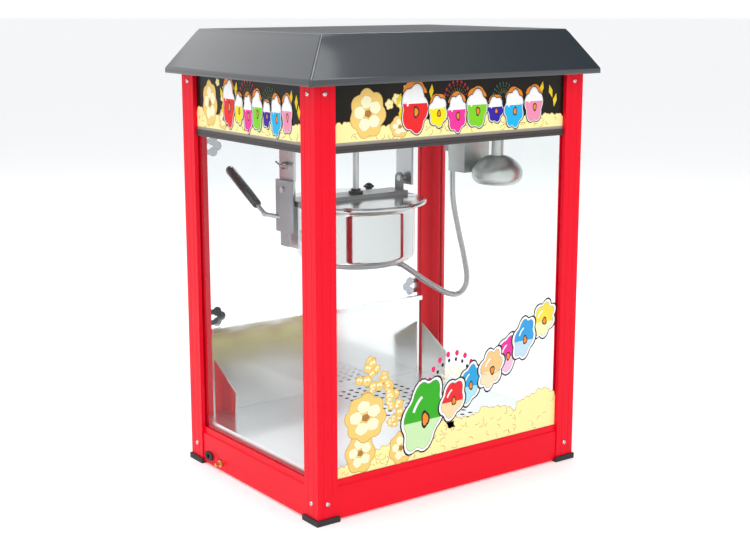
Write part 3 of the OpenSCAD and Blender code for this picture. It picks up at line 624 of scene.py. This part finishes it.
class POPCORN_OT_roof(Maker):
    """The hipped roof: one folded and welded sheet with soft hips"""

    bl_idname = "popcorn.roof"
    bl_label = "Roof"

    def build(self, s):
        low, high = corner("roof_shell", 0), corner("roof_shell", 1)
        half_x, half_y = high[0], high[1]
        sheet, lip = 0.0015, 0.008
        top_x, top_y = half_x - 0.0435, half_y - 0.036
        round_at = s.cabinet.hip_round
        rings = []

        def section(t, z, radius, inset=0.0):
            """Ring at share t of the way from the lip to the top, moved in by the inset."""
            x = half_x + (top_x - half_x) * t - inset
            y = half_y + (top_y - half_y) * t - inset
            rings.append(rounded_ring(x, y, radius, z))

        rise = high[2] - low[2] - lip
        rings.append(rounded_ring(1e-5, 1e-5, 1e-6, high[2] - sheet))
        section(1, high[2] - sheet, round_at, sheet + 0.002)
        section(0, low[2] + lip, round_at, sheet)
        section(0, low[2], round_at, sheet)
        section(0, low[2], round_at, 0.0003)
        section(0, low[2] + 0.0004, round_at)
        section(0, low[2] + lip - 0.0012, round_at)
        for t in (0.02, 0.05):
            section(t, low[2] + lip + rise * t * 0.96, round_at)
        for t in (0.3, 0.6, 0.9):
            section(t, low[2] + lip + rise * t, round_at)
        for a in np.linspace(20, 90, 5):
            out = 0.0016 * (1 - math.sin(math.radians(a)))
            turn = 0.0016 * (1 - math.cos(math.radians(a)))
            section(1, high[2] - out * 1.2, round_at, turn - 0.0016 * 0.2)
        rings.append(rounded_ring(top_x * 0.5, top_y * 0.5, 0.002, high[2]))
        rings.append(rounded_ring(1e-5, 1e-5, 1e-6, high[2]))
        points = np.concatenate(rings)
        per_ring = len(rings[0])
        faces = grid_faces(len(rings), per_ring, close_columns=True)
        skin = add_mesh("roof_skin", points, faces, finish_of("roof_paint"))
        dress(skin, "cabinet", "roof_paint", "roof_shell")


# ---------------------------------------------------------------- glazing

class POPCORN_OT_glazing(Maker):
    """Glass panes, acrylic doors and their fittings"""

    bl_idname = "popcorn.glazing"
    bl_label = "Glazing"

    def build(self, s):
        paint(finish_of("clear_glass"), "glass_front", "glass_left", "glass_right")
        paint(finish_of("clear_acrylic"), "door_left", "door_right")
        paint(finish_of("chrome_fitting"), "door_fittings_left", "door_fittings_right")
        paint(finish_of("printed_panel"), "header_front", "header_sides")
        for node in ("glass_front", "glass_left", "glass_right", "door_left", "door_right"):
            soften(node, 0.0005)


# ---------------------------------------------------------------- prints

def ink(code):
    """Linear colour of a hex code such as 'ff1e34'."""
    parts = np.array([int(code[i:i + 2], 16) / 255 for i in (0, 2, 4)])
    return np.where(parts <= 0.04045, parts / 12.92, ((parts + 0.055) / 1.055) ** 2.4)


class Film:
    """Flat inks in layers: each shape is a fan, kept as points (across, up, layer) and faces."""

    step = 0.000025

    def __init__(self):
        self.points, self.faces, self.inks = [], [], []
        self.count = self.shapes = 0

    def add(self, points, faces, paint_of, layer):
        """Adds a shape on its layer. Neighbours overlap, so each of 17 in turn lies a
        seventeenth of a layer above the one before it."""
        points = np.asarray(points, float)
        self.shapes += 1
        lift = (layer + self.shapes % 17 / 17) * self.step
        self.points.append(np.column_stack([points, np.full(len(points), lift)]))
        self.faces.append(np.asarray(faces) + self.count)
        self.inks.append(np.broadcast_to(paint_of, (len(points), 3)))
        self.count += len(points)

    def fan(self, centre, outline, paint_of, layer):
        """Triangles from the centre to each pair of neighbours on a closed outline."""
        n = len(outline)
        i = np.arange(n)
        faces = np.stack([np.zeros(n, int), i + 1, (i + 1) % n + 1], axis=1)
        self.add(np.vstack([centre, outline]), faces, paint_of, layer)

    def puff(self, centre, size, lobes, depth, turn, paint_of, layer, grow=0.0, lean=0.0,
             split=None, steps=42):
        """Popped-corn outline r(a) = 1 + depth |cos(lobes a / 2 + turn)|, stretched to size,
        sheared by lean, grown by a width, and cut off above or below a height by split."""
        a = np.linspace(0, 2 * math.pi, steps, endpoint=False)
        r = 1 + depth * np.abs(np.cos(lobes * a / 2 + turn)) - depth * 0.6
        x = r * np.cos(a) * (size[0] + grow)
        y = r * np.sin(a) * (size[1] + grow)
        if split is not None:
            cut = split * size[1]
            y = np.maximum(y, cut) if split >= 0 else np.minimum(y, cut)
            outline = np.stack([x + lean * y, y], axis=1) + centre
            return self.fan(outline.mean(axis=0), outline, paint_of, layer)
        outline = np.stack([x + lean * y, y], axis=1) + centre
        return self.fan(np.asarray(centre), outline, paint_of, layer)

    def stroke(self, route, width, paint_of, layer):
        """A line of even width: each point of the route is moved out to both sides."""
        route = np.asarray(route, float)
        way = np.gradient(route, axis=0)
        way /= np.linalg.norm(way, axis=1, keepdims=True)
        side = np.stack([-way[:, 1], way[:, 0]], axis=1) * width / 2
        points = np.concatenate([route + side, route - side])
        n = len(route)
        i = np.arange(n - 1)
        faces = np.concatenate([
            np.stack([i, i + 1, i + n + 1], axis=1), np.stack([i, i + n + 1, i + n], axis=1)
        ])
        self.add(points, faces, paint_of, layer)

    def area(self, lower, upper, paint_of, layer):
        """The area between two lines of equally many points."""
        points = np.concatenate([lower, upper])
        n = len(lower)
        i = np.arange(n - 1)
        faces = np.concatenate([
            np.stack([i, i + 1, i + n + 1], axis=1), np.stack([i, i + n + 1, i + n], axis=1)
        ])
        self.add(points, faces, paint_of, layer)

    def lay(self, name, origin, across, outward):
        """Puts the film on a panel: point = origin + across u + Z v + outward layer."""
        flat = np.concatenate(self.points)
        across, outward = np.asarray(across, float), np.asarray(outward, float)
        place = (
            np.asarray(origin, float) + flat[:, :1] * across
            + flat[:, 1:2] * np.array([0, 0, 1.0]) + flat[:, 2:3] * outward
        )
        faces = np.concatenate(self.faces)
        a, b, c = (place[faces[:, k]] for k in range(3))
        wrong = (np.cross(b - a, c - a) @ outward) < 0
        faces[wrong] = faces[wrong][:, ::-1]
        mesh = bpy.data.meshes.new(name)
        mesh.from_pydata(place.tolist(), [], faces.tolist())
        attribute = mesh.color_attributes.new("ink", "FLOAT_COLOR", "POINT")
        tint = np.concatenate(self.inks)
        attribute.data.foreach_set(
            "color", np.column_stack([tint, np.ones(len(tint))]).astype(np.float32).ravel()
        )
        mesh.update()
        mesh.materials.append(finish_of("printed_panel"))
        piece = bpy.data.objects.new(name, mesh)
        bpy.context.scene.collection.objects.link(piece)
        return piece


CORN, CORN_LIGHT, CORN_LINE = ink("fff2a8"), ink("fff9cf"), ink("c9a25c")
CORN_MARK, CORN_GOLD, WHITE = ink("b07a3c"), ink("f6cf74"), ink("ffffff")
BLACK, GREY_LINE, ORANGE = ink("161616"), ink("8a8a86"), ink("f08c28")


def corn_pile(film, u0, u1, base, crest, rng, layer, line=0.0011):
    """A heap of popped corn: a row of puffs along the crest, first all their dark outlines and
    then all their pale fills, so that only the heap's own edge stays outlined."""
    count = int((u1 - u0) / 0.0135)
    u = np.linspace(u0 + 0.010, u1 - 0.010, count)
    v = crest(u) - 0.009 + rng.uniform(-0.003, 0.002, count)
    r = rng.uniform(0.0084, 0.0108, count)
    turns = rng.uniform(0, 3, count)
    for grow, tone, lift in ((line, CORN_LINE, 0), (0.0, CORN, 1)):
        for x, y, size, turn in zip(u, v, r, turns):
            film.puff((x, y), (size, size), 5, 0.22, turn, tone, layer + lift, grow=grow, steps=30)
    edge = np.linspace(u0, u1, 60)
    low = np.stack([edge, np.full(60, base)], axis=1)
    high = np.stack([edge, crest(edge) - 0.008], axis=1)
    film.area(low, high, CORN, layer + 1)
    marks = int((u1 - u0) * 150)
    for _ in range(marks):
        x = rng.uniform(u0 + 0.008, u1 - 0.008)
        top = float(crest(np.array([x]))[0]) - 0.010
        if top <= base + 0.006:
            continue
        y = rng.uniform(base + 0.004, top)
        size, turn = rng.uniform(0.0035, 0.0065), rng.uniform(0, 6.3)
        a = np.linspace(turn, turn + rng.uniform(1.6, 2.8), 9)
        route = np.stack([x + size * np.cos(a), y + size * np.sin(a) * 0.8], axis=1)
        film.stroke(route, 0.0009, CORN_LINE if rng.random() < 0.7 else CORN_MARK, layer + 2)


def loose_corn(film, centre, size, rng, layer, fill=CORN):
    """One popped kernel: a lobed puff with an outline, two pale lobes and a brown germ."""
    x, y = centre
    turn = rng.uniform(0, 3)
    film.puff(centre, (size, size), 5, 0.3, turn, CORN_LINE, layer, grow=0.0008, steps=36)
    film.puff(centre, (size, size), 5, 0.3, turn, fill, layer + 1, steps=36)
    for k in (0, 1):
        a = turn + 2.3 * k
        at = (x + 0.38 * size * math.cos(a), y + 0.38 * size * math.sin(a))
        film.puff(at, (size * 0.36, size * 0.32), 4, 0.1, a, CORN_LIGHT, layer + 2, steps=18)
    germ = (size * 0.14, size * 0.1)
    film.puff((x, y - 0.1 * size), germ, 3, 0.1, turn, CORN_MARK, layer + 3, steps=10)


def burst(film, centre, radius, rays, inner, outer, layer, streak):
    """A fan of dots: rays from 12 to 168 degrees, two rows of dots and short streaks."""
    a = np.radians(np.linspace(12, 168, rays))
    for angle in a:
        way = np.array([math.cos(angle), math.sin(angle)])
        route = np.asarray(centre) + way * np.linspace(0.25, 0.62, 4)[:, None] * radius
        film.stroke(route, radius * 0.05, streak, layer)
        for share, tone, size in ((0.78, inner, 0.055), (1.0, outer, 0.085)):
            dot = (radius * size, radius * size * 1.25)
            film.puff(np.asarray(centre) + way * radius * share, dot, 3, 0.05, angle, tone,
                      layer + 1, steps=12)


def balloon(film, centre, size, body, cap, lobes, turn, layer, margin, outline, lean=0.0,
            split=0.05):
    """A big coloured puff: black outline, white margin, body colour, paler cap and a gleam."""
    rings = ((BLACK, margin + outline), (WHITE, margin), (GREY_LINE, outline * 0.28), (body, 0.0))
    for lift, (tone, grow) in enumerate(rings):
        film.puff(centre, size, lobes, 0.20, turn, tone, layer + lift, grow=grow, lean=lean)
    film.puff(centre, size, lobes, 0.20, turn, cap, layer + 4, lean=lean, split=split)
    a = np.linspace(2.0, 2.9, 8)
    gleam = np.stack([0.62 * size[0] * np.cos(a), 0.62 * size[1] * np.sin(a)], axis=1)
    gleam[:, 0] += lean * gleam[:, 1]
    film.stroke(gleam + centre, size[0] * 0.13, WHITE, layer + 5)
    film.puff(np.asarray(centre) + (0.12 * size[0], -0.12 * size[1]),
              (size[0] * 0.24, size[1] * 0.26), 3, 0.25, turn, BLACK, layer + 5, steps=24)
    film.puff(np.asarray(centre) + (0.12 * size[0], -0.12 * size[1]),
              (size[0] * 0.16, size[1] * 0.18), 3, 0.25, turn, ORANGE, layer + 6, steps=24)


# Front picture, in metres across and up: the heap's edge, the thrown corn with its size, and
# the rising puffs as two colours, centre, half width, half height and lobes.
HEAP = np.array([
    [-0.224, 0.078], [-0.180, 0.086], [-0.143, 0.095], [-0.110, 0.099], [-0.068, 0.104],
    [-0.030, 0.117], [0.002, 0.121], [0.020, 0.115], [0.036, 0.114], [0.065, 0.122], [0.088, 0.121],
    [0.109, 0.119], [0.123, 0.111], [0.132, 0.106], [0.145, 0.119], [0.158, 0.126],
    [0.181, 0.131], [0.199, 0.131], [0.213, 0.125], [0.224, 0.123],
])
THROWN = [
    (-0.158, 0.235, 0.0085), (-0.150, 0.222, 0.007), (-0.133, 0.208, 0.0085),
    (-0.165, 0.207, 0.008), (-0.124, 0.190, 0.0085), (-0.112, 0.178, 0.007),
    (-0.106, 0.160, 0.0085), (-0.104, 0.142, 0.0085), (-0.114, 0.133, 0.0075),
    (-0.142, 0.196, 0.007),
]
RISING = [
    ("2fae1f", "c9ecb4", -0.058, 0.133, 0.034, 0.054, 6),
    ("e8202c", "ffd9a8", 0.001, 0.149, 0.020, 0.028, 5),
    ("1fa3dc", "aee3f2", 0.036, 0.168, 0.018, 0.029, 6),
    ("f0c688", "f8e0b8", 0.080, 0.186, 0.021, 0.029, 7),
    ("e8309c", "ffc2dc", 0.114, 0.204, 0.019, 0.028, 5),
    ("2f9fe0", "c2ddf2", 0.150, 0.226, 0.019, 0.030, 6),
    ("f4de4a", "fff6b8", 0.192, 0.251, 0.021, 0.026, 7),
]


def cluster(film, centre, size, lobes, layer, line):
    """A big popped kernel: an outlined puff with a ring of pale lobes round a brown germ."""
    (u, v), (a, b) = centre, size
    film.puff(centre, size, lobes, 0.16, 0.4, CORN_LINE, layer, grow=line)
    film.puff(centre, size, lobes, 0.16, 0.4, CORN_GOLD, layer + 1)
    for k in range(5):
        turn = 0.5 + k * 1.26
        at = (u + 0.5 * a * math.cos(turn), v + 0.5 * b * math.sin(turn))
        lobe = (a * 0.32, b * 0.27)
        film.puff(at, lobe, 5, 0.12, turn, CORN_LINE, layer + 2, grow=line * 0.4, steps=24)
        film.puff(at, lobe, 5, 0.12, turn, CORN_LIGHT, layer + 3, steps=24)
    film.puff(centre, (a * 0.2, b * 0.16), 5, 0.2, 0.2, CORN_MARK, layer + 4, steps=16)


class POPCORN_OT_front_print(Maker):
    """The picture on the front pane: a heap of corn and a rising row of puffs"""

    bl_idname = "popcorn.front_print"
    bl_label = "Front print"

    def build(self, s):
        rng = np.random.default_rng(s.prints.seed)
        film = Film()
        half = IN_X - 0.0004

        def crest(u):
            """Height of the heap along the pane, through measured heights."""
            return np.interp(u, HEAP[:, 0], HEAP[:, 1])

        for u, v, size in THROWN:
            loose_corn(film, (u, v), size, rng, 1, CORN_GOLD)
            for _ in range(2):
                at = (u + rng.normal(0, 0.011), v + rng.normal(0, 0.009))
                loose_corn(film, at, size * 0.8, rng, 5, CORN_GOLD)
        corn_pile(film, -half, half, BASE_TOP + 0.0004, crest, rng, 10)
        for u, v, a, b, lobes, layer in (
            (-0.178, 0.096, 0.026, 0.030, 6, 16), (-0.168, 0.150, 0.036, 0.036, 8, 22),
            (-0.101, 0.089, 0.021, 0.025, 7, 16),
        ):
            cluster(film, (u, v), (a, b), lobes, layer, 0.0013)
        burst(film, (0.0, 0.178), 0.046, 8, BLACK, ink("e8246c"), 28, ink("f2e9b8"))
        for k, (low, high, u, v, a, b, lobes) in enumerate(RISING):
            balloon(film, (u, v), (a, b), ink(low), ink(high), lobes, 0.7 * k, 32 + 8 * (k % 2),
                    0.0045, 0.0026, lean=0.22, split=-0.15)
        piece = film.lay("front_print", (0, GLASS_LO[1] - 0.0001, 0), (1, 0, 0), (0, -1, 0))
        dress(piece, "cabinet", "printed_panel")


class POPCORN_OT_header_prints(Maker):
    """The pictures on the header's three printed panels"""

    bl_idname = "popcorn.header_prints"
    bl_label = "Header prints"

    def picture(self, s, half, low, high, seed):
        """One header: black ground, corn heap, plain puffs at the left and a row of seven."""
        rng = np.random.default_rng(seed)
        film = Film()
        ends = np.array([-half, half])
        squeeze = half / 0.224

        def line(v):
            return np.stack([ends, np.full(2, v)], axis=1)

        film.area(line(low), line(high), s.prints.ground, 0)
        film.area(line(low), line(low + 0.0048), ink("a8a096"), 1)

        def crest(u):
            return low + 0.032 + 0.006 * np.sin(u * 21 / squeeze + 1)

        corn_pile(film, -half, half, low + 0.0048, crest, rng, 2, 0.0008)
        u0 = -0.163 * squeeze
        cluster(film, (u0, low + 0.044), (0.030 * squeeze, 0.034), 7, 8, 0.001)
        cluster(film, (u0 + 0.058 * squeeze, low + 0.022), (0.017 * squeeze, 0.015), 6, 8, 0.001)
        for _ in range(9):
            at = (u0 + (0.030 + 0.05 * rng.random()) * squeeze, low + rng.uniform(0.045, 0.078))
            loose_corn(film, at, rng.uniform(0.0045, 0.007) * (0.5 + 0.5 * squeeze), rng, 12)

        tones = [
            ("ee1c24", 0.0225, 0.034, -0.078), ("f4e600", 0.0155, 0.021, -0.034),
            ("f0309c", 0.0165, 0.026, 0.003), ("7ed321", 0.0185, 0.027, 0.042),
            ("2a12a0", 0.0145, 0.018, 0.080), ("12b4ec", 0.0180, 0.027, 0.118),
            ("f090b4", 0.0170, 0.025, 0.160),
        ]
        for u, v, radius, inner, outer, streak in (
            (0.003, 0.060, 0.024, "8a3030", "b02a3a", "6a5a3a"),
            (0.095, 0.058, 0.020, "3a6a48", "2f5a40", "5a6a4a"),
        ):
            burst(film, (u * squeeze, low + v), radius, 9, ink(inner), ink(outer), 17, ink(streak))
        for k, (tone, a, b, u) in enumerate(tones):
            v = low + (0.046 if k == 0 else 0.038 + 0.003 * math.sin(2.4 * k))
            centre, size = (u * squeeze, v), (a * squeeze, b)
            film.puff((centre[0], v + b * 0.62), (a * 0.95 * squeeze, b * 0.62), 5, 0.1, k, ORANGE,
                      20 + 9 * (k % 2), grow=0.001, split=0.1)
            balloon(film, centre, size, ink(tone), WHITE, 5 + k % 3, 0.9 * k, 21 + 9 * (k % 2),
                    0.0016, 0.0016, split=0.25)
        shards = [
            (-0.108, 0.060), (-0.104, 0.040), (-0.047, 0.070),
            (0.176, 0.066), (0.196, 0.060), (0.205, 0.046),
        ]
        for u, v in shards:
            turn = rng.uniform(-0.5, 0.5)
            tip = np.array([[0, 0.012], [0.0042, 0.002], [0.001, -0.010], [-0.0042, 0.001]])
            spin = np.array([[math.cos(turn), -math.sin(turn)], [math.sin(turn), math.cos(turn)]])
            at = np.array([u * squeeze, low + v])
            film.fan(at, tip @ spin.T + at, ink("f2d21e"), 18)
        return film

    def build(self, s):
        low, high = TRIM_HI, POST_TOP
        front = corner("header_front", 0)[1] - 0.0001
        side = -corner("header_sides", 0)[0] + 0.0001
        seed = s.prints.seed
        film = self.picture(s, IN_X - 0.0003, low, high, seed + 1)
        piece = film.lay("header_print_front", (0, front, 0), (1, 0, 0), (0, -1, 0))
        dress(piece, "cabinet", "printed_panel")
        for name, sign, shift in (("left", -1, 2), ("right", 1, 3)):
            film = self.picture(s, IN_Y - 0.0003, low, high, seed + shift)
            place, across, out = (sign * side, 0, 0), (0, sign, 0), (sign, 0, 0)
            piece = film.lay("header_print_" + name, place, across, out)
            dress(piece, "cabinet", "printed_panel")


# ---------------------------------------------------------------- kettle

class POPCORN_OT_kettle(Maker):
    """The spun kettle, its lids' finish, bridge, knob and heater"""

    bl_idname = "popcorn.kettle"
    bl_label = "Kettle"

    def build(self, s):
        low, high = POT_LO[2], POT_HI[2]
        rim = (POT_HI[0] - POT_LO[0]) / 2
        wall, lip = s.kettle.wall, s.kettle.lip
        body = rim - 0.019
        bend = 0.012
        profile = np.concatenate([
            [[0, low]],
            arc((body - bend, low + bend), bend, -90, 0, 12),
            [[body, high - 0.016]],
            arc((body + 0.006, high - 0.016), 0.006, 180, 125, 6),
            [[rim - 0.006, high - 0.0062]],
            arc((rim - lip, high - lip), lip, -70, 180, 14),
            [[rim - 2 * lip, high - 0.0038], [body + 0.004, high - 0.0105]],
            arc((body + 0.006, high - 0.016), 0.006 + wall, 125, 180, 6),
            [[body - wall, low + bend]],
            arc((body - bend, low + bend), bend - wall, 0, -90, 12),
            [[0, low + wall]],
        ])
        shell = revolve("kettle_shell", profile, (POT_X, POT_Y, 0), finish_of("polished_steel"),
                        s.kettle.segments)
        dress(shell, "kettle", "polished_steel", "kettle_pot")
        paint(finish_of("lid_steel"), "lid_front", "lid_rear")
        paint(finish_of("bridge_steel"), "kettle_bridge")
        paint(finish_of("grey_metal"), "heater_base", "terminal_box", "lever_bracket")
        paint(finish_of("stainless"), "kettle_trunnions", "stirrer")
        paint(finish_of("trim_black"), "shaft_bush")
        soften("lever_bracket", 0.0008)

        knob_lo, knob_hi = corner("lid_knob", 0), corner("lid_knob", 1)
        centre = ((knob_lo[0] + knob_hi[0]) / 2, (knob_lo[1] + knob_hi[1]) / 2, knob_lo[2])
        knob = np.concatenate([
            [[0, 0], [0.0058, 0]], arc((0.0075, 0.0022), 0.0022, 225, 140, 6),
            arc((0.0070, 0.0070), 0.0025, -60, 30, 6), arc((0, 0.0045), 0.0085, 32, 90, 9),
        ])
        piece = revolve("knob_cap", knob, centre, finish_of("black_plastic"), 48)
        dress(piece, "rear_lid", "black_plastic", "lid_knob")


class POPCORN_OT_lever(Maker):
    """The tilting lever's bent rod and moulded grip"""

    bl_idname = "popcorn.lever"
    bl_label = "Lever"

    def build(self, s):
        paint(finish_of("chrome_fitting"), "lever_rod")
        paint(finish_of("black_plastic"), "lever_grip")


# ---------------------------------------------------------------- lamp and lead

class POPCORN_OT_lamp(Maker):
    """The spun lamp shade, its bulb and the steel box behind it"""

    bl_idname = "popcorn.lamp"
    bl_label = "Lamp"

    def build(self, s):
        low, high = corner("lamp_shade", 0), corner("lamp_shade", 1)
        x, y = (low[0] + high[0]) / 2, (low[1] + high[1]) / 2
        radius, neck = (high[0] - low[0]) / 2, 0.010
        drop, tuck = 0.016, 0.42 * radius
        z, top = low[2] + drop * math.sin(math.radians(80)), high[2]
        t = 0.0012
        bell = np.linspace(0, math.pi / 2, 22)
        # a superellipse of power 1.6 from the rim up to the neck
        out = neck + (radius - neck) * np.cos(bell) ** 1.25
        up = z + 0.005 + 0.027 * np.sin(bell) ** 1.25
        outer = np.stack([out, up], axis=1)
        inner = np.stack([np.maximum(out - t, neck - 0.0020), up - t], axis=1)
        turn = np.radians(np.linspace(0, 80, 13))[:, None]

        def belly(cut):
            """Quarter ellipse that turns in under the widest ring, moved in by the cut."""
            return np.hstack([
                radius - tuck + (tuck - cut) * np.cos(turn), z - (drop - cut) * np.sin(turn)
            ])

        profile = np.concatenate([
            [[0, top], [neck, top], [neck, z + 0.034]],
            outer[::-1], belly(0), belly(t)[::-1], inner,
            [[neck - 0.0020, z + 0.054], [0, z + 0.054]],
        ])
        shade = revolve("shade_bell", profile, (x, y, 0), finish_of("lamp_metal"), 96)
        dress(shade, "cabinet", "grey_metal", "lamp_shade")
        bulb_top = z + 0.054
        bulb = np.concatenate([
            [[0, bulb_top], [0.0078, bulb_top], [0.0078, bulb_top - 0.022]],
            arc((0, bulb_top - 0.040), 0.0150, 50, -90, 16),
        ])
        piece = revolve("bulb_envelope", bulb, (x, y, 0), finish_of("bulb_glass"), 48)
        dress(piece, "cabinet", "bulb_glass", "lamp_bulb")
        paint(finish_of("lamp_metal"), "lamp_housing")
        paint(finish_of("grey_metal"), "conduit_socket")


LEAD_ROUTE = np.array([
    [172, 28, 500], [172, 28, 478], [172, 28, 456], [173, 28, 432], [177, 28, 408],
    [183, 28, 384], [190, 28, 358], [197, 28, 334], [203, 28, 310], [207, 28, 290],
    [206, 28, 273], [198, 28, 261], [184, 28, 256], [168, 28, 259], [150, 28, 267],
    [131, 28, 278], [112, 28, 290], [95, 28, 302], [82, 28, 311], [70, 28, 319], [59, 28, 326],
]) * MM


class POPCORN_OT_lead(Maker):
    """The flexible metal conduit from its socket to the kettle"""

    bl_idname = "popcorn.lead"
    bl_label = "Conduit"

    def build(self, s):
        lead = s.lead
        path, run = smooth_route(LEAD_ROUTE, lead.pitch / 8)
        along = np.linspace(0, run, len(path))
        wave = 0.5 + 0.5 * np.cos(2 * math.pi * along / lead.pitch)
        radius = lead.radius * (1 - 0.05 * wave)
        piece = sweep("conduit_hose", path, radius, finish_of("conduit_metal"), 20)
        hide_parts("conduit")
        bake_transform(piece)


# ---------------------------------------------------------------- screws

class POPCORN_OT_screws(Maker):
    """Pan-head screws with cross recesses in the posts"""

    bl_idname = "popcorn.screws"
    bl_label = "Screws"

    def build(self, s):
        low, high = corner("cabinet_screws", 0), corner("cabinet_screws", 1)
        wide, rise, stand, rings, sides = 0.0036, 0.0017, 0.0018, 14, 48
        recess, slot, reach = 0.0010, 0.00042, 0.0019
        r = wide * np.linspace(0, 1, rings)[:, None]
        a = np.linspace(0, 2 * math.pi, sides, endpoint=False)[None]
        x, y = r * np.cos(a), r * np.sin(a)
        dome = rise * np.sqrt(np.maximum(0, 1 - (r / wide) ** 2.6)) + 0 * a
        cross = (np.minimum(abs(x), abs(y)) < slot) & (np.maximum(abs(x), abs(y)) < reach)
        head = np.stack([x, y, dome - recess * cross], axis=-1).reshape(-1, 3)
        half = (corner("post_front_left", 1)[0] - corner("post_front_left", 0)[0]) / 2
        quads = grid_faces(rings, sides, close_columns=True)
        points, faces = [], []
        for z in (low[2] + wide, high[2] - wide):
            for sx in (-1, 1):
                for sy in (-1, 1):
                    px, py = sx * (high[0] - stand), sy * (high[1] - stand)
                    flat = np.zeros_like(head) + [0, 0, z]
                    front, side = flat.copy(), flat.copy()
                    front += [px - sx * half, py, 0]
                    front += head[:, [0, 2, 1]] * [1, sy, 1]
                    side += [px, py - sy * half, 0]
                    side += head[:, [2, 0, 1]] * [sx, 1, 1]
                    for place in (front, side):
                        faces.append(quads + len(head) * len(points))
                        points.append(place)
        piece = add_mesh("screw_heads", np.concatenate(points), np.concatenate(faces),
                         finish_of("polished_steel"))
        dress(piece, "cabinet", "polished_steel", "cabinet_screws")


# ---------------------------------------------------------------- stage

class POPCORN_OT_stage(Maker):
    """Pale floor, soft lights and the camera"""

    bl_idname = "popcorn.stage"
    bl_label = "Stage"

    def light(self, name, place, aim, size, watts, tint=(1, 1, 1)):
        data = bpy.data.lights.new(name, "AREA")
        data.shape = "RECTANGLE"
        data.size, data.size_y = size
        data.energy = watts
        data.color = tint
        lamp = bpy.data.objects.new(name, data)
        lamp.location = place
        way = np.array(aim, float) - np.array(place, float)
        down = math.atan2(math.hypot(way[0], way[1]), -way[2])
        lamp.rotation_euler = (down, 0, math.atan2(way[1], way[0]) - math.pi / 2)
        bpy.context.scene.collection.objects.link(lamp)

    def sky(self):
        """White round the horizon, grey overhead, with a dark flag high on the right."""
        g = Graph("studio", bpy.data.worlds.new("studio"))
        way = g.sock("ShaderNodeTexCoord", {}, (), "Generated")
        height = g.sock("ShaderNodeSeparateXYZ", {}, [way], "Z")
        dome = g.ramp(height, [(0.22, (1, 1, 1)), (0.72, (0.50, 0.51, 0.53))])
        toward = g.sock("ShaderNodeVectorMath", {"operation": "DOT_PRODUCT"},
                        [way, (0.85, -0.30, 0.43)], "Value")
        flag = g.ramp(toward, [(0.90, (0, 0, 0)), (0.965, (1, 1, 1))])
        shade = g.mix(flag, dome, (0.03, 0.05, 0.055))
        g.finish(g.node("ShaderNodeBackground", {}, {"Color": shade, "Strength": 1.15}))
        return g.material

    def build(self, s):
        scene = bpy.context.scene
        camera = bpy.data.objects.new("view", bpy.data.cameras.new("view"))
        camera.data.lens = s.stage.focal
        camera.data.sensor_width = 36
        camera.data.clip_end = 40
        camera.location = (-1.3142, -1.7739, 0.7788)
        camera.rotation_euler = (math.radians(90 - 11.8), 0, -math.radians(36.23))
        scene.collection.objects.link(camera)
        scene.camera = camera

        size = 80
        edge = np.linspace(-size, size, 9)
        x, y = np.meshgrid(edge, edge, indexing="ij")
        points = np.stack([x.ravel(), y.ravel(), np.full(x.size, -0.0002)], axis=1)
        g = Graph("studio_floor")
        cloud = g.noise(2.5, 3)
        pale = g.mix(cloud * 0.3, s.stage.floor, tuple(0.97 * c for c in s.stage.floor))
        floor = add_mesh("studio_floor", points, grid_faces(9, 9),
                         g.finish(g.principled(base=pale, rough=0.55 + cloud * 0.1,
                                               emit=pale, emit_strength=0.30)))

        self.light("key", (-2.2, -2.4, 3.2), (0, 0, 0.35), (2.2, 2.2), 30)
        self.light("fill", (0.9, -1.9, 2.9), (0, 0, 0.4), (1.0, 1.2), 11)
        self.light("back", (-0.5, 2.8, 2.8), (0, 0, 0.5), (2.4, 2.0), 9)
        self.light("hips", (-0.87, -0.36, 2.97), (-0.2, -0.2, 0.68), (0.9, 0.9), 20)
        self.light("edges", (1.4, 1.95, 2.4), (0, 0, 0.65), (1.3, 0.4), 20)
        scene.world = self.sky()
        scene.view_settings.view_transform = "Standard"


# ---------------------------------------------------------------- add-on

GROUPS = [
    ("popcorn_cabinet", CabinetSettings), ("popcorn_prints", PrintSettings),
    ("popcorn_kettle", KettleSettings), ("popcorn_lead", LeadSettings),
    ("popcorn_stage", StageSettings),
]
MAKERS = [
    POPCORN_OT_stage, POPCORN_OT_lead, POPCORN_OT_cabinet, POPCORN_OT_roof, POPCORN_OT_glazing,
    POPCORN_OT_front_print, POPCORN_OT_header_prints, POPCORN_OT_kettle, POPCORN_OT_lever,
    POPCORN_OT_lamp, POPCORN_OT_screws,
]


class POPCORN_PT_parts(Panel):
    """Lists the popcorn machine's pieces and their settings"""

    bl_idname = "POPCORN_PT_parts"
    bl_label = "Popcorn machine"
    bl_space_type = "VIEW_3D"
    bl_region_type = "UI"
    bl_category = "Popcorn"

    def draw(self, context):
        for maker in MAKERS:
            self.layout.operator(maker.bl_idname)
        for key, group in GROUPS:
            box = self.layout.box()
            for name in group.__annotations__:
                box.prop(getattr(context.scene, key), name)


def register():
    for _, group in GROUPS:
        bpy.utils.register_class(group)
    for maker in MAKERS:
        bpy.utils.register_class(maker)
    bpy.utils.register_class(POPCORN_PT_parts)
    for key, group in GROUPS:
        setattr(bpy.types.Scene, key, PointerProperty(type=group))


def unregister():
    for key, _ in reversed(GROUPS):
        delattr(bpy.types.Scene, key)
    for kind in [POPCORN_PT_parts, *reversed(MAKERS), *(group for _, group in reversed(GROUPS))]:
        bpy.utils.unregister_class(kind)


def main():
    register()
    for maker in MAKERS:
        group, name = maker.bl_idname.split(".")
        getattr(getattr(bpy.ops, group), name)()


if __name__ == "__main__":
    main()
